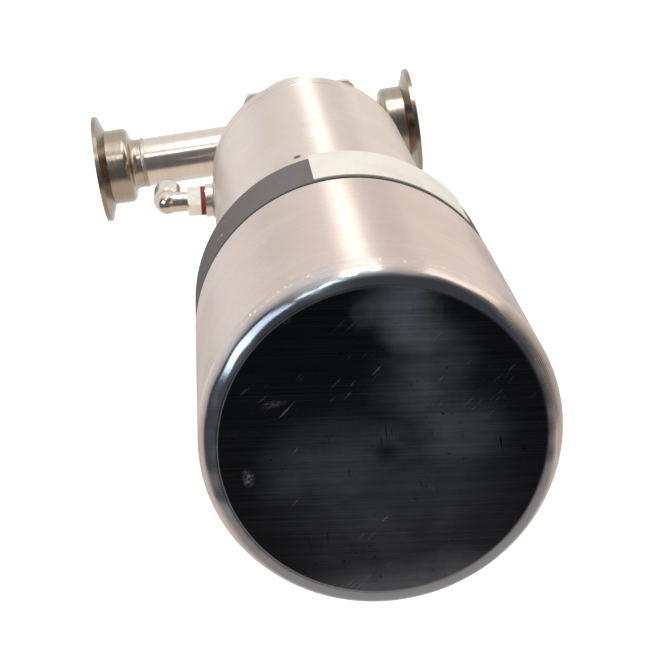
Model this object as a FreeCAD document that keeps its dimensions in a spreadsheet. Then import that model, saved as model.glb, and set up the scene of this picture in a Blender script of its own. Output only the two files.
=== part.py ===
import FreeCAD, Part
import Sketcher
import math
import os
import re

# Sanitary pinch valve with an air actuator that a spring closes, standing on its base cap.
# The actuator's axis is Z, the flow runs along X, and the origin is the centre of the base face.
# Millimetres. The long port and the air elbow are on the +X side.

doc = FreeCAD.newDocument("pinch_valve")

# Driving sizes, each set once here and read by every piece through its name.
SIZES = [
    ("slip", 0.05, "radial gap of parts that are pushed together and stay"),
    ("running", 0.05, "radial gap of parts that slide or turn"),
    ("end_gap", 0.4, "gap below the ends of pegs, tips and seals"),
    ("spring_gap", 0.02, "gap between a spring's ground end and its seat"),
    ("bevel_inset", 0.2, "hexagons, bevel inside the flats"),
    ("housing_od", 105.0, "spring housing, outside"),
    ("housing_wall", 2.5, "spring housing, wall"),
    ("housing_length", 98.0, "closed end to the joint line"),
    ("cap_skirt", 9.8, "closed end to the weld under its corner"),
    ("end_corner", 5.4, "rounding of the closed end"),
    ("end_inner_corner", 2.5, "rounding inside the closed end"),
    ("end_thickness", 5.0, "flat of the closed end"),
    ("seal_line", 1.2, "black joint seal, thickness"),
    ("seal_inset", 0.35, "black joint seal, in from the housing's outside"),
    ("band_inset", 0.2, "grey centre head, band in from the housing's outside"),
    ("band_width", 30.7, "grey centre head, height of the band"),
    ("band_edge", 0.6, "chamfer on the band"),
    ("web_thickness", 12.0, "centre head, web between barrel and housing"),
    ("spigot_length", 10.0, "centre head, spigot in the housing"),
    ("spigot_wall", 6.0, "centre head, spigot wall"),
    ("groove_width", 2.6, "seal grooves, width"),
    ("groove_depth", 1.9, "seal grooves, depth"),
    ("ring_side_gap", 0.1, "seal rings, gap to each side of the groove"),
    ("vent_d", 5.0, "vents in the centre head"),
    ("vent_circle", 38.0, "circle of the vents"),
    ("vent_count", 4, "vents in the centre head"),
    ("label_low", 1.9, "how far the blank plate passes the band's lower edge"),
    ("label_height", 31.6, "blank plate, height"),
    ("label_thickness", 0.4, "blank plate"),
    ("label_glue", 0.1, "glue under the blank plate"),
    ("label_start_angle", -146.0, "blank plate, first edge about the axis"),
    ("label_span_angle", 62.0, "blank plate, angle that it spans"),
    ("barrel_od", 87.0, "air barrel, outside"),
    ("barrel_wall", 3.5, "air barrel, wall"),
    ("barrel_showing", 160.1, "air barrel, between the bonnet and the band"),
    ("foot_ring_bore", 68.0, "thick ring at the barrel's foot, bore"),
    ("foot_ring_height", 10.0, "thick ring at the barrel's foot"),
    ("weep_d", 2.6, "weep hole in the barrel"),
    ("weep_level", 129.5, "weep hole above the barrel's foot"),
    ("weep_angle", -78.0, "weep hole about the axis"),
    ("bonnet_thickness", 12.6, "bonnet plate"),
    ("bonnet_edge", 1.0, "chamfer on the bonnet plate"),
    ("bonnet_spigot", 12.0, "bonnet spigot, height in the barrel"),
    ("bush_od", 22.0, "rod bushes, outside"),
    ("wiper_od", 24.0, "rod wiper"),
    ("wiper_depth", 5.0, "rod wiper pocket"),
    ("rod_seal_od", 25.0, "rod seal"),
    ("rod_seal_depth", 6.0, "rod seal pocket"),
    ("seal_lip", 1.6, "thickness of the lips of the moving seals"),
    ("bolt_d", 6.0, "bonnet bolts"),
    ("bolt_hole_d", 6.6, "bonnet bolts, clearance hole"),
    ("bolt_inset", 4.5, "bonnet bolts, in from the barrel's outside"),
    ("bolt_angle", 60.0, "bonnet bolts about the axis, from the flow"),
    ("bolt_head_flats", 10.0, "bonnet bolts, across flats"),
    ("bolt_head_height", 4.0, "bonnet bolts, head"),
    ("bolt_bite", 8.0, "bonnet bolts, length in the barrel"),
    ("washer_od", 11.0, "spring washers"),
    ("washer_thickness", 1.6, "spring washers"),
    ("neck_od", 46.0, "pinch chamber, outside"),
    ("neck_bore", 39.6, "pinch chamber, bore"),
    ("port_height", 35.0, "flow axis above the base face"),
    ("rim_above_port", 79.1, "bonnet's top face above the flow axis"),
    ("port_tube_od", 23.0, "port tubes, outside"),
    ("port_tube_bore", 20.0, "port tubes, bore"),
    ("long_reach", 97.6, "long port's face from the axis"),
    ("short_reach", 55.0, "short port's face from the axis"),
    ("ferrule_length", 21.5, "clamp ferrules, length"),
    ("ferrule_od", 50.5, "clamp ferrules, flange"),
    ("ferrule_rim", 2.0, "clamp ferrules, thickness at the rim"),
    ("ferrule_root", 4.9, "clamp ferrules, thickness at the hub"),
    ("hub_od", 35.4, "clamp ferrules, hub"),
    ("hub_end", 15.6, "clamp ferrules, face to the hub's shoulder"),
    ("hub_round", 2.9, "clamp ferrules, roundings of the shoulder"),
    ("gasket_groove_inset", 3.5, "groove in the ferrule face, its middle in from the rim"),
    ("gasket_groove_width", 2.6, "groove in the ferrule face"),
    ("gasket_groove_depth", 1.1, "groove in the ferrule face"),
    ("collar_od", 26.0, "sleeve, collar at each end"),
    ("collar_thickness", 2.4, "sleeve, collar"),
    ("sleeve_od", 19.7, "sleeve, outside where it is round"),
    ("sleeve_bore", 13.1, "sleeve, bore"),
    ("pinched_height", 6.4, "sleeve, squeezed flat"),
    ("pinched_half", 4.0, "sleeve, half length of the flat stretch"),
    ("round_at", 16.0, "sleeve, where it is round again"),
    ("slit_height", 0.4, "sleeve, what is left of the bore at the pinch"),
    ("slit_half", 5.0, "sleeve, half length of the stretch without a bore"),
    ("base_thickness", 6.0, "base cap, flange"),
    ("base_plug", 6.0, "base cap, plug in the chamber"),
    ("base_edge", 1.0, "chamfer under the base cap"),
    ("spanner_hole_d", 5.0, "pin spanner holes"),
    ("spanner_hole_depth", 4.0, "pin spanner holes"),
    ("spanner_spread", 26.0, "pin spanner holes, spacing"),
    ("anvil_length", 35.0, "fixed anvil, across the flow"),
    ("anvil_width", 12.0, "fixed anvil, along the flow"),
    ("anvil_round", 2.0, "fixed anvil, top edges"),
    ("peg_d", 10.0, "anvil peg"),
    ("peg_length", 4.5, "anvil peg"),
    ("nose_length", 31.0, "presser nose, across the flow"),
    ("nose_width", 8.0, "presser nose, along the flow"),
    ("nose_height", 14.0, "presser nose"),
    ("nose_round", 3.8, "presser nose, rounding"),
    ("nose_gap", 0.1, "presser nose above the squeezed sleeve"),
    ("guide_height", 18.0, "presser, round guide"),
    ("guide_edge", 0.8, "presser, chamfer"),
    ("rod_d", 16.0, "piston rod below the piston"),
    ("rod_tip_d", 12.0, "piston rod, tip in the presser"),
    ("rod_tip", 13.0, "piston rod, tip length"),
    ("rod_upper_d", 14.0, "piston rod above the shoulder"),
    ("rod_thread_d", 10.0, "piston rod, top thread up to its stop"),
    ("cross_pin_d", 4.0, "pin through presser and rod"),
    ("cross_pin_length", 34.0, "pin through presser and rod"),
    ("cross_pin_drop", 8.0, "pin below the presser's top"),
    ("air_space", 17.0, "bonnet spigot to the piston at rest"),
    ("piston_height", 16.0, "piston"),
    ("piston_seal_height", 4.0, "piston seal"),
    ("piston_seal_depth", 4.5, "piston seal, groove depth"),
    ("piston_guide_height", 5.0, "piston guide ring"),
    ("piston_guide_depth", 1.5, "piston guide ring, groove depth"),
    ("piston_edge", 1.0, "chamfer on the piston"),
    ("piston_land", 2.4, "piston, lands beside its seal"),
    ("piston_nut_flats", 24.0, "piston nut"),
    ("piston_nut_height", 8.0, "piston nut"),
    ("plate_gap", 1.0, "spring plate above the spigot at rest"),
    ("plate_side_gap", 4.0, "spring plate to the housing's wall"),
    ("plate_thickness", 7.0, "spring plate"),
    ("plate_lip", 3.0, "spring plate, raised lip"),
    ("plate_lip_width", 3.0, "spring plate, raised lip"),
    ("plate_nut_flats", 17.0, "spring plate nut"),
    ("plate_nut_height", 7.0, "spring plate nut"),
    ("seat_side_gap", 3.0, "upper spring seat to the housing's wall"),
    ("seat_thickness", 3.0, "upper spring seat"),
    ("seat_boss_gap", 1.5, "upper spring seat, centring boss to the spring"),
    ("seat_boss_height", 4.0, "upper spring seat, centring boss"),
    ("main_spring_d", 60.0, "main spring, mean diameter"),
    ("main_spring_wire", 6.0, "main spring, wire"),
    ("main_spring_turns", 5.0, "main spring, turns"),
    ("spring_side_gap", 2.5, "housing spring to the lip of its plate"),
    ("housing_spring_wire", 7.0, "housing spring, wire"),
    ("housing_spring_turns", 3.0, "housing spring, turns"),
    ("air_above_rim", 21.4, "air port above the barrel's foot"),
    ("air_angle", -5.5, "air port about the axis"),
    ("air_hole_d", 5.0, "air port through the barrel's wall"),
    ("air_boss_od", 14.0, "air boss"),
    ("air_boss_height", 3.7, "air boss above the barrel"),
    ("air_thread_d", 9.7, "air fitting thread"),
    ("air_thread_bite", 3.5, "air fitting thread, length in the boss"),
    ("red_washer_od", 12.2, "red sealing washer"),
    ("red_washer_thickness", 2.0, "red sealing washer"),
    ("air_hex_flats", 11.0, "air fitting hexagon"),
    ("air_hex_width", 5.7, "air fitting hexagon"),
    ("post_d", 6.0, "swivel post"),
    ("post_length", 8.0, "swivel post"),
    ("post_bore", 3.0, "air way in the fitting"),
    ("elbow_gap", 0.2, "elbow to hexagon"),
    ("elbow_stem_d", 8.5, "elbow, stem"),
    ("elbow_od", 11.6, "elbow, hose end"),
    ("elbow_neck_d", 9.6, "elbow, at its corner"),
    ("elbow_corner", 4.4, "elbow, rounding of its corner"),
    ("elbow_edge", 0.5, "chamfer on the hose end"),
    ("elbow_flare_at", 4.0, "hose end below the stem's axis"),
    ("elbow_flare", 1.5, "cone between corner and hose end"),
    ("elbow_out", 8.6, "hexagon face to the outlet's axis"),
    ("elbow_drop", 17.0, "outlet's end from the stem's axis"),
    ("elbow_bottom", 0.9, "end of the post's bore past the outlet's axis"),
    ("air_tube_d", 6.0, "air hose that the elbow takes"),
    ("hose_fit", 0.1, "radial gap round the air hose"),
    ("hose_stop", 13.0, "how deep the hose goes"),
    ("collet_wall", 1.1, "collet sleeve"),
    ("hose_room", 0.3, "hose behind the collet, in the elbow, radial"),
    ("collet_depth", 8.5, "recess for the collet in the elbow"),
    ("collet_play", 2.0, "collet sleeve to the bottom of its recess"),
    ("collet_edge", 0.3, "chamfer on the collet"),
    ("collet_lift", 1.6, "collet flange from the elbow's end"),
    ("collet_flange_od", 10.4, "collet flange"),
    ("collet_flange", 1.2, "collet flange thickness"),
    ("breather_below_top", 52.5, "breather from the closed end"),
    ("breather_angle", 140.0, "breather about the axis"),
    ("breather_boss_od", 12.0, "breather boss"),
    ("breather_boss_height", 3.2, "breather boss above the housing"),
    ("breather_thread_d", 8.0, "breather thread"),
    ("breather_hex_flats", 11.0, "breather hexagon"),
    ("breather_hex_width", 3.5, "breather hexagon"),
    ("breather_element_d", 8.6, "sintered element"),
    ("breather_element_length", 8.5, "sintered element"),
    ("breather_element_round", 3.1, "sintered element, rounding"),
    ("breather_way_d", 4.0, "air way in the breather"),
]

# Levels along the axis and radii that follow from the driving sizes.
DERIVED = [
    ("rim", "port_height + rim_above_port"),
    ("bonnet_low", "rim - bonnet_thickness"),
    ("band_low", "rim + barrel_showing"),
    ("band_high", "band_low + band_width"),
    ("web_low", "band_high - web_thickness"),
    ("housing_low", "band_high + seal_line"),
    ("top", "band_high + housing_length"),
    ("weld_level", "top - cap_skirt"),
    ("end_inside", "top - end_thickness"),
    ("housing_r", "housing_od / 2"),
    ("housing_inner_r", "housing_od / 2 - housing_wall"),
    ("band_r", "housing_r - band_inset"),
    ("seal_r", "housing_r - seal_inset"),
    ("spigot_r", "housing_inner_r - slip"),
    ("plate_r", "housing_inner_r - plate_side_gap"),
    ("seat_r", "housing_inner_r - seat_side_gap"),
    ("housing_spring_d", "2 * (plate_r - plate_lip_width - spring_side_gap) - housing_spring_wire"),
    ("seat_boss_r", "housing_spring_d / 2 - housing_spring_wire / 2 - seat_boss_gap"),
    ("barrel_r", "barrel_od / 2"),
    ("bore_r", "barrel_r - barrel_wall"),
    ("bolt_circle_r", "barrel_r - bolt_inset"),
    ("bolt_x", "bolt_circle_r * cos(bolt_angle)"),
    ("bolt_y", "bolt_circle_r * sin(bolt_angle)"),
    ("spigot_top", "rim + bonnet_spigot"),
    ("bonnet_spigot_r", "foot_ring_bore / 2 - slip"),
    ("anvil_top", "port_height - sleeve_od / 2"),
    ("base_top", "base_thickness + base_plug"),
    ("nose_low", "anvil_top + pinched_height + nose_gap"),
    ("guide_low", "nose_low + nose_height"),
    ("guide_top", "guide_low + guide_height"),
    ("piston_low", "spigot_top + air_space"),
    ("piston_top", "piston_low + piston_height"),
    ("plate_low", "band_high + spigot_length + plate_gap"),
    ("plate_top", "plate_low + plate_thickness"),
    ("seat_low", "end_inside - seat_thickness"),
    ("air_level", "rim + air_above_rim"),
    ("air_boss_reach", "barrel_r + air_boss_height"),
    ("washer_end", "air_boss_reach + red_washer_thickness"),
    ("hex_end", "washer_end + air_hex_width"),
    ("outlet_x", "hex_end + elbow_out"),
    ("outlet_end", "air_level - elbow_drop"),
    ("breather_level", "top - breather_below_top"),
    ("breather_face", "housing_r + breather_boss_height"),
    ("lift", "sleeve_od - pinched_height"),
    ("rod_top", "seat_low - seat_boss_height - lift - running"),
]

sizes = doc.addObject("Spreadsheet::Sheet", "sizes")
for row, (alias, value, note) in enumerate(SIZES, start=1):
    sizes.set("A%d" % row, alias)
    sizes.set("B%d" % row, str(value))
    sizes.set("C%d" % row, note)
    sizes.setAlias("B%d" % row, alias)
doc.recompute()

levels = doc.addObject("Spreadsheet::Sheet", "levels")
sheet_of = {alias: "sizes" for alias, value, note in SIZES}
sheet_of.update({alias: "levels" for alias, formula in DERIVED})


def cells(text):
    """Turns plain size names in a formula into references to their sheet."""
    def with_sheet(word):
        name = word.group(0)
        return sheet_of[name] + "." + name if name in sheet_of else name
    return re.sub(r"[a-z][a-z_]*", with_sheet, text)


for row, (alias, formula) in enumerate(DERIVED, start=1):
    levels.set("A%d" % row, alias)
    levels.set("B%d" % row, "=" + cells(formula).replace("levels.", ""))
    levels.setAlias("B%d" % row, alias)
    doc.recompute()


def size(text):
    """The present value of a formula in the sheets' names."""
    return float(sizes.evalExpression(cells(text)))


pieces = []


def new_body(name):
    body = doc.addObject("PartDesign::Body", name)
    body.Label = name
    pieces.append(body)
    return body


def new_sketch(body, role, along=None, up=None, turn=None):
    """A sketch on an origin plane, moved along its normal or up, or turned about its up axis."""
    sketch = body.newObject("Sketcher::SketchObject", body.Name + "_sketch")
    plane = [item for item in body.Origin.OriginFeatures if item.Role == role][0]
    sketch.AttachmentSupport = [(plane, "")]
    sketch.MapMode = "FlatFace"
    if turn:
        about_up = FreeCAD.Rotation(FreeCAD.Vector(0, 1, 0), 1)
        sketch.AttachmentOffset = FreeCAD.Placement(FreeCAD.Vector(), about_up)
        sketch.setExpression("AttachmentOffset.Rotation.Angle", cells(turn))
    if along:
        sketch.setExpression("AttachmentOffset.Base.z", cells(along))
    if up:
        sketch.setExpression("AttachmentOffset.Base.y", cells(up))
    return sketch


def hold(sketch, kind, *target):
    """Adds a dimension whose value is the formula that comes last in target."""
    formula = target[-1]
    index = sketch.addConstraint(Sketcher.Constraint(kind, *target[:-1], size(formula)))
    sketch.setExpression("Constraints[%d]" % index, cells(formula))


def pin_point(sketch, line, end, x, y):
    """Fixes one end of a line at x, y."""
    for kind, formula, axis in (("DistanceX", x, -2), ("DistanceY", y, -1)):
        if formula == "0":
            sketch.addConstraint(Sketcher.Constraint("PointOnObject", line, end, axis))
        else:
            hold(sketch, kind, -1, 1, line, end, formula)


def outline(sketch, points):
    """Closed outline of straight lines through points given as formulas."""
    corners = [FreeCAD.Vector(size(x), size(y), 0) for x, y in points]
    count = len(points)
    first = sketch.GeometryCount
    for index in range(count):
        sketch.addGeometry(Part.LineSegment(corners[index], corners[(index + 1) % count]), False)
    for index in range(count):
        following = first + (index + 1) % count
        sketch.addConstraint(Sketcher.Constraint("Coincident", first + index, 2, following, 1))
    for index, (x, y) in enumerate(points):
        pin_point(sketch, first + index, 1, x, y)


def circle(sketch, x, y, radius):
    """A full circle at x, y."""
    centre = FreeCAD.Vector(size(x), size(y), 0)
    ring = sketch.addGeometry(Part.Circle(centre, FreeCAD.Vector(0, 0, 1), size(radius)), False)
    pin_point(sketch, ring, 3, x, y)
    hold(sketch, "Radius", ring, radius)


def turned(name, points, level=None, angle=None):
    """A turned piece: its outline is (radius, height) about Z, or (reach, radius) about X at a level."""
    body = new_body(name)
    sketch = new_sketch(body, "XZ_Plane", up=level)
    outline(sketch, points)
    spin = body.newObject("PartDesign::Revolution", body.Name + "_turned")
    spin.Profile = sketch
    spin.ReferenceAxis = (sketch, ["H_Axis" if level else "V_Axis"])
    if angle:
        spin.setExpression("Angle", cells(angle))
    else:
        spin.Angle = 360
    return body


def ring(name, inner, outer, low, high):
    return turned(name, [(inner, low), (outer, low), (outer, high), (inner, high)])


def pad(body, sketch, length, both_ways=False, reversed_way=False):
    """A pad or plate as thick as length."""
    feature = body.newObject("PartDesign::Pad", body.Name + "_pad")
    feature.Profile = sketch
    feature.setExpression("Length", cells(length))
    if both_ways:
        feature.SideType = "Symmetric"
    feature.Reversed = reversed_way
    return feature


def pocket(body, sketch, depth=None, both_ways=False, with_normal=False):
    """A pocket, right through unless a depth is given, against the sketch's normal unless with_normal."""
    feature = body.newObject("PartDesign::Pocket", body.Name + "_pocket")
    feature.Profile = sketch
    if depth:
        feature.setExpression("Length", cells(depth))
    else:
        feature.Type = "ThroughAll"
    if both_ways:
        feature.SideType = "Symmetric"
    feature.Reversed = with_normal
    return feature


def drill_wall(body, level, radius, turn=None):
    """A round hole from the axis out through one wall, along X or turned about Z."""
    sketch = new_sketch(body, "YZ_Plane", turn=turn)
    circle(sketch, "0", level, radius)
    pocket(body, sketch, with_normal=True)


# How near an edge has to be to a size to be the one that is meant, and how level a flat one is, in mm.
EDGE_MATCH = 0.01
EDGE_LEVEL = 0.001


def ring_edges(body, radius, level, axis="z"):
    """Names of the circular edges of a radius at a level along an axis."""
    doc.recompute()
    found = []
    for index, edge in enumerate(body.Shape.Edges, start=1):
        if not isinstance(edge.Curve, Part.Circle):
            continue
        here = getattr(edge.Curve.Center, axis)
        same_radius = abs(edge.Curve.Radius - size(radius)) < EDGE_MATCH
        if same_radius and abs(here - size(level)) < EDGE_MATCH:
            found.append("Edge%d" % index)
    if not found:
        raise ValueError("no edge of radius %s at %s on %s" % (radius, level, body.Name))
    return found


def ease(body, kind, amount, edges):
    """A fillet or a chamfer on named edges of the body's tip."""
    feature = body.newObject("PartDesign::" + kind, body.Name + "_" + kind.lower())
    feature.Base = (feature.BaseFeature, edges)
    feature.setExpression("Radius" if kind == "Fillet" else "Size", cells(amount))
    return feature


def ease_rings(body, kind, amount, rings, axis="z"):
    names = []
    for radius, level in rings:
        names += ring_edges(body, radius, level, axis)
    ease(body, kind, amount, names)


def saddle(body, radius):
    """Cuts away what lies inside a cylinder about Z, so that the piece sits on a round wall."""
    sketch = new_sketch(body, "XY_Plane")
    circle(sketch, "0", "0", radius)
    pocket(body, sketch, with_normal=True)


def aim(body, angle):
    """Turns a piece that was made along +X about the actuator's axis."""
    body.Placement = FreeCAD.Placement(FreeCAD.Vector(), FreeCAD.Rotation(FreeCAD.Vector(0, 0, 1), 1))
    body.setExpression("Placement.Rotation.Angle", cells(angle))


def six_sided(sketch, flats, level="0"):
    """The outline of a hexagon round a point up the sketch, with two corners up and down."""
    corner, half = "%s / sqrt(3)" % flats, "%s / 2" % flats
    outline(sketch, [
        ("0", "%s + %s" % (level, corner)), (half, "%s + %s / 2" % (level, corner)),
        (half, "%s - %s / 2" % (level, corner)), ("0", "%s - %s" % (level, corner)),
        ("-" + half, "%s - %s / 2" % (level, corner)), ("-" + half, "%s + %s / 2" % (level, corner))])


def bevel(body, flats, ends, level=None):
    """Takes the corners off a hexagon's ends at 30 degrees, about Z or about X at a level."""
    sketch = new_sketch(body, "XZ_Plane", up=level)
    inside = "%s / 2 - bevel_inset" % flats
    outside = "%s / sqrt(3) + slip" % flats
    for end, into in ends:
        step = "%s + %d * (%s - (%s)) / sqrt(3)" % (end, into, outside, inside)
        corners = [(inside, end), (outside, end), (outside, step)]
        outline(sketch, [(y, x) for x, y in corners] if level else corners)
    groove = body.newObject("PartDesign::Groove", body.Name + "_bevel")
    groove.Profile = sketch
    groove.ReferenceAxis = (sketch, ["H_Axis" if level else "V_Axis"])
    groove.Angle = 360


def nut(name, flats, low, height, hole):
    """A six-sided nut about Z with a plain hole, beveled at both ends."""
    body = new_body(name)
    sketch = new_sketch(body, "XY_Plane", along=low)
    six_sided(sketch, flats)
    circle(sketch, "0", "0", hole)
    pad(body, sketch, height)
    bevel(body, flats, [(low, 1), ("%s + %s" % (low, height), -1)])


# Closed end and spring housing, a rolled tube with a pressed end welded in.
def make_end_cap():
    cap = turned("end_cap", [
        ("0", "top"), ("housing_r", "top"), ("housing_r", "weld_level"), ("housing_inner_r", "weld_level"),
        ("housing_inner_r", "end_inside"), ("0", "end_inside")])
    ease_rings(cap, "Fillet", "end_corner", [("housing_r", "top")])
    ease_rings(cap, "Fillet", "end_inner_corner", [("housing_inner_r", "end_inside")])


def make_spring_housing():
    housing = ring("spring_housing", "housing_inner_r", "housing_r", "housing_low", "weld_level")
    drill_wall(housing, "breather_level", "breather_thread_d / 2 + slip")
    aim(housing, "breather_angle")


# Grey centre head: it holds the barrel in its skirt and the housing on its spigot.
def make_centre_head():
    skirt_r = "barrel_r + slip"
    middle = "(band_low + web_low) / 2"
    spigot_middle = "band_high + spigot_length / 2"
    half = "groove_width / 2"
    head = turned("centre_head", [
        ("bush_od / 2 + slip", "web_low"), (skirt_r, "web_low"),
        (skirt_r, middle + " + " + half), (skirt_r + " + groove_depth", middle + " + " + half),
        (skirt_r + " + groove_depth", middle + " - " + half), (skirt_r, middle + " - " + half),
        (skirt_r, "band_low"), ("band_r", "band_low"), ("band_r", "band_high"), ("spigot_r", "band_high"),
        ("spigot_r", spigot_middle + " - " + half), ("spigot_r - groove_depth", spigot_middle + " - " + half),
        ("spigot_r - groove_depth", spigot_middle + " + " + half), ("spigot_r", spigot_middle + " + " + half),
        ("spigot_r", "band_high + spigot_length"), ("spigot_r - spigot_wall", "band_high + spigot_length"),
        ("spigot_r - spigot_wall", "band_high"), ("bush_od / 2 + slip", "band_high")])
    ease_rings(head, "Chamfer", "band_edge", [("band_r", "band_low"), ("band_r", "band_high")])
    sketch = new_sketch(head, "XY_Plane", along="band_high")
    circle(sketch, "vent_circle / 2", "0", "vent_d / 2")
    vent = pocket(head, sketch)
    vents = head.newObject("PartDesign::PolarPattern", "centre_head_vents")
    vents.Originals = [vent]
    vents.Axis = (sketch, ["N_Axis"])
    vents.Angle = 360
    vents.setExpression("Occurrences", cells("vent_count"))
    head.Tip = vents
    inset = "slip + ring_side_gap"
    ring("barrel_seal", "barrel_r + " + inset, "barrel_r + slip + groove_depth - ring_side_gap",
         middle + " - " + half + " + ring_side_gap", middle + " + " + half + " - ring_side_gap")
    ring("housing_seal", "spigot_r - groove_depth + ring_side_gap", "spigot_r",
         spigot_middle + " - " + half + " + ring_side_gap", spigot_middle + " + " + half + " - ring_side_gap")
    ring("joint_seal", "spigot_r + slip", "seal_r", "band_high", "housing_low")
    ring("centre_bush", "rod_upper_d / 2 + running", "bush_od / 2", "web_low", "band_high")


# Blank plate glued round the band.
def make_label_plate():
    low = "band_low - label_low"
    inner = "band_r + label_glue"
    outer = inner + " + label_thickness"
    high = low + " + label_height"
    plate = turned("label_plate", [(inner, low), (outer, low), (outer, high), (inner, high)],
                   angle="label_span_angle")
    plate.Placement = FreeCAD.Placement(FreeCAD.Vector(), FreeCAD.Rotation(FreeCAD.Vector(0, 0, 1), 1))
    middle = "label_start_angle + label_span_angle / 2"
    plate.setExpression("Placement.Rotation.Angle", cells(middle))
    plate.Tip.Midplane = True


# Air barrel with a thick foot ring for the bonnet bolts.
def make_barrel():
    barrel = turned("barrel", [
        ("foot_ring_bore / 2", "rim"), ("barrel_r", "rim"), ("barrel_r", "web_low"), ("bore_r", "web_low"),
        ("bore_r", "rim + foot_ring_height"), ("foot_ring_bore / 2", "rim + foot_ring_height")])
    drill_wall(barrel, "air_level", "air_hole_d / 2", turn="air_angle")
    drill_wall(barrel, "rim + weep_level", "weep_d / 2", turn="weep_angle")
    drill_bolt_holes(barrel, "rim", "bolt_d / 2 + slip", "bolt_bite + end_gap")


def drill_bolt_holes(body, level, radius, depth):
    sketch = new_sketch(body, "XY_Plane", along=level)
    for sign_x in ("", "-"):
        for sign_y in ("", "-"):
            circle(sketch, sign_x + "bolt_x", sign_y + "bolt_y", radius)
    pocket(body, sketch, depth, with_normal=True)


# Bonnet: plate under the barrel, with a spigot that carries the rod's bush, seal and wiper.
def make_bonnet():
    middle = "rim + foot_ring_height / 2"
    half = "groove_width / 2"
    bush_low = "bonnet_low + wiper_depth"
    bush_high = "spigot_top - rod_seal_depth"
    bonnet = turned("bonnet", [
        ("wiper_od / 2 + slip", "bonnet_low"), ("barrel_r", "bonnet_low"), ("barrel_r", "rim"),
        ("bonnet_spigot_r", "rim"), ("bonnet_spigot_r", middle + " - " + half),
        ("bonnet_spigot_r - groove_depth", middle + " - " + half),
        ("bonnet_spigot_r - groove_depth", middle + " + " + half),
        ("bonnet_spigot_r", middle + " + " + half), ("bonnet_spigot_r", "spigot_top"),
        ("rod_seal_od / 2 + slip", "spigot_top"), ("rod_seal_od / 2 + slip", bush_high),
        ("bush_od / 2 + slip", bush_high), ("bush_od / 2 + slip", bush_low),
        ("wiper_od / 2 + slip", bush_low)])
    ease_rings(bonnet, "Chamfer", "bonnet_edge", [("barrel_r", "bonnet_low"), ("barrel_r", "rim")])
    drill_bolt_holes(bonnet, "bonnet_low", "bolt_hole_d / 2", "bonnet_thickness")
    ring("bonnet_seal", "bonnet_spigot_r - groove_depth + ring_side_gap", "bonnet_spigot_r",
         middle + " - " + half + " + ring_side_gap", middle + " + " + half + " - ring_side_gap")
    rod_r = "rod_d / 2 + running"
    ring("rod_bush", rod_r, "bush_od / 2", bush_low, bush_high)
    seal_bottom, seal_top = bush_high + " + ring_side_gap", "spigot_top - end_gap"
    turned("rod_seal", [
        (rod_r, seal_bottom), ("rod_seal_od / 2", seal_bottom), ("rod_seal_od / 2", seal_top),
        ("rod_seal_od / 2 - seal_lip", seal_top), ("rod_seal_od / 2 - seal_lip", bush_high + " + seal_lip"),
        (rod_r + " + seal_lip", bush_high + " + seal_lip"), (rod_r + " + seal_lip", seal_top),
        (rod_r, seal_top)])
    wiper_top = bush_low + " - ring_side_gap"
    turned("rod_wiper", [
        (rod_r + " + seal_lip", wiper_top), ("wiper_od / 2", wiper_top),
        ("wiper_od / 2", "bonnet_low + end_gap"), (rod_r, "bonnet_low + end_gap"),
        (rod_r, "bonnet_low + seal_lip"), (rod_r + " + seal_lip", "bonnet_low + 2 * seal_lip")])


# Hexagon bolts from below, with spring washers, two by two about the flow axis.
def make_bonnet_bolts():
    bolts, washers = [], []
    for number in range(4):
        sign_x = "" if number % 2 else "-"
        sign_y = "" if number // 2 else "-"
        head = doc.addObject("Part::Prism", "bolt_head_%d" % number)
        head.Polygon = 6
        head.setExpression("Circumradius", cells("bolt_head_flats / sqrt(3)"))
        head.setExpression("Height", cells("bolt_head_height"))
        under_head = "bonnet_low - washer_thickness"
        place_at(head, sign_x + "bolt_x", sign_y + "bolt_y", under_head + " - bolt_head_height")
        shank = doc.addObject("Part::Cylinder", "bolt_shank_%d" % number)
        shank.setExpression("Radius", cells("bolt_d / 2"))
        shank.setExpression("Height", cells("washer_thickness + bonnet_thickness + bolt_bite"))
        place_at(shank, sign_x + "bolt_x", sign_y + "bolt_y", under_head)
        crown = doc.addObject("Part::Cone", "bolt_crown_%d" % number)
        crown.setExpression("Radius1", cells("bolt_head_flats / 2 - bevel_inset"))
        crown.setExpression("Radius2", cells("bolt_head_flats * 3 / 2 - bevel_inset"))
        crown.setExpression("Height", cells("bolt_head_flats / sqrt(3)"))
        place_at(crown, sign_x + "bolt_x", sign_y + "bolt_y", under_head + " - bolt_head_height")
        eased = doc.addObject("Part::Common", "bolt_eased_%d" % number)
        eased.Base = head
        eased.Tool = crown
        bolt = doc.addObject("Part::Fuse", "bolt_%d" % number)
        bolt.Base = eased
        bolt.Tool = shank
        bolts.append(bolt)
        disc = doc.addObject("Part::Cylinder", "washer_disc_%d" % number)
        disc.setExpression("Radius", cells("washer_od / 2"))
        disc.setExpression("Height", cells("washer_thickness"))
        place_at(disc, sign_x + "bolt_x", sign_y + "bolt_y", under_head)
        hole = doc.addObject("Part::Cylinder", "washer_hole_%d" % number)
        hole.setExpression("Radius", cells("bolt_hole_d / 2"))
        hole.setExpression("Height", cells("washer_thickness"))
        place_at(hole, sign_x + "bolt_x", sign_y + "bolt_y", under_head)
        washer = doc.addObject("Part::Cut", "washer_%d" % number)
        washer.Base = disc
        washer.Tool = hole
        washers.append(washer)
    for name, members in (("bonnet_bolts", bolts), ("bonnet_washers", washers)):
        group = doc.addObject("Part::Compound", name)
        group.Label = name
        group.Links = members
        pieces.append(group)


def place_at(item, x, y, z):
    for axis, formula in (("x", x), ("y", y), ("z", z)):
        item.setExpression("Placement.Base." + axis, cells(formula))


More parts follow.
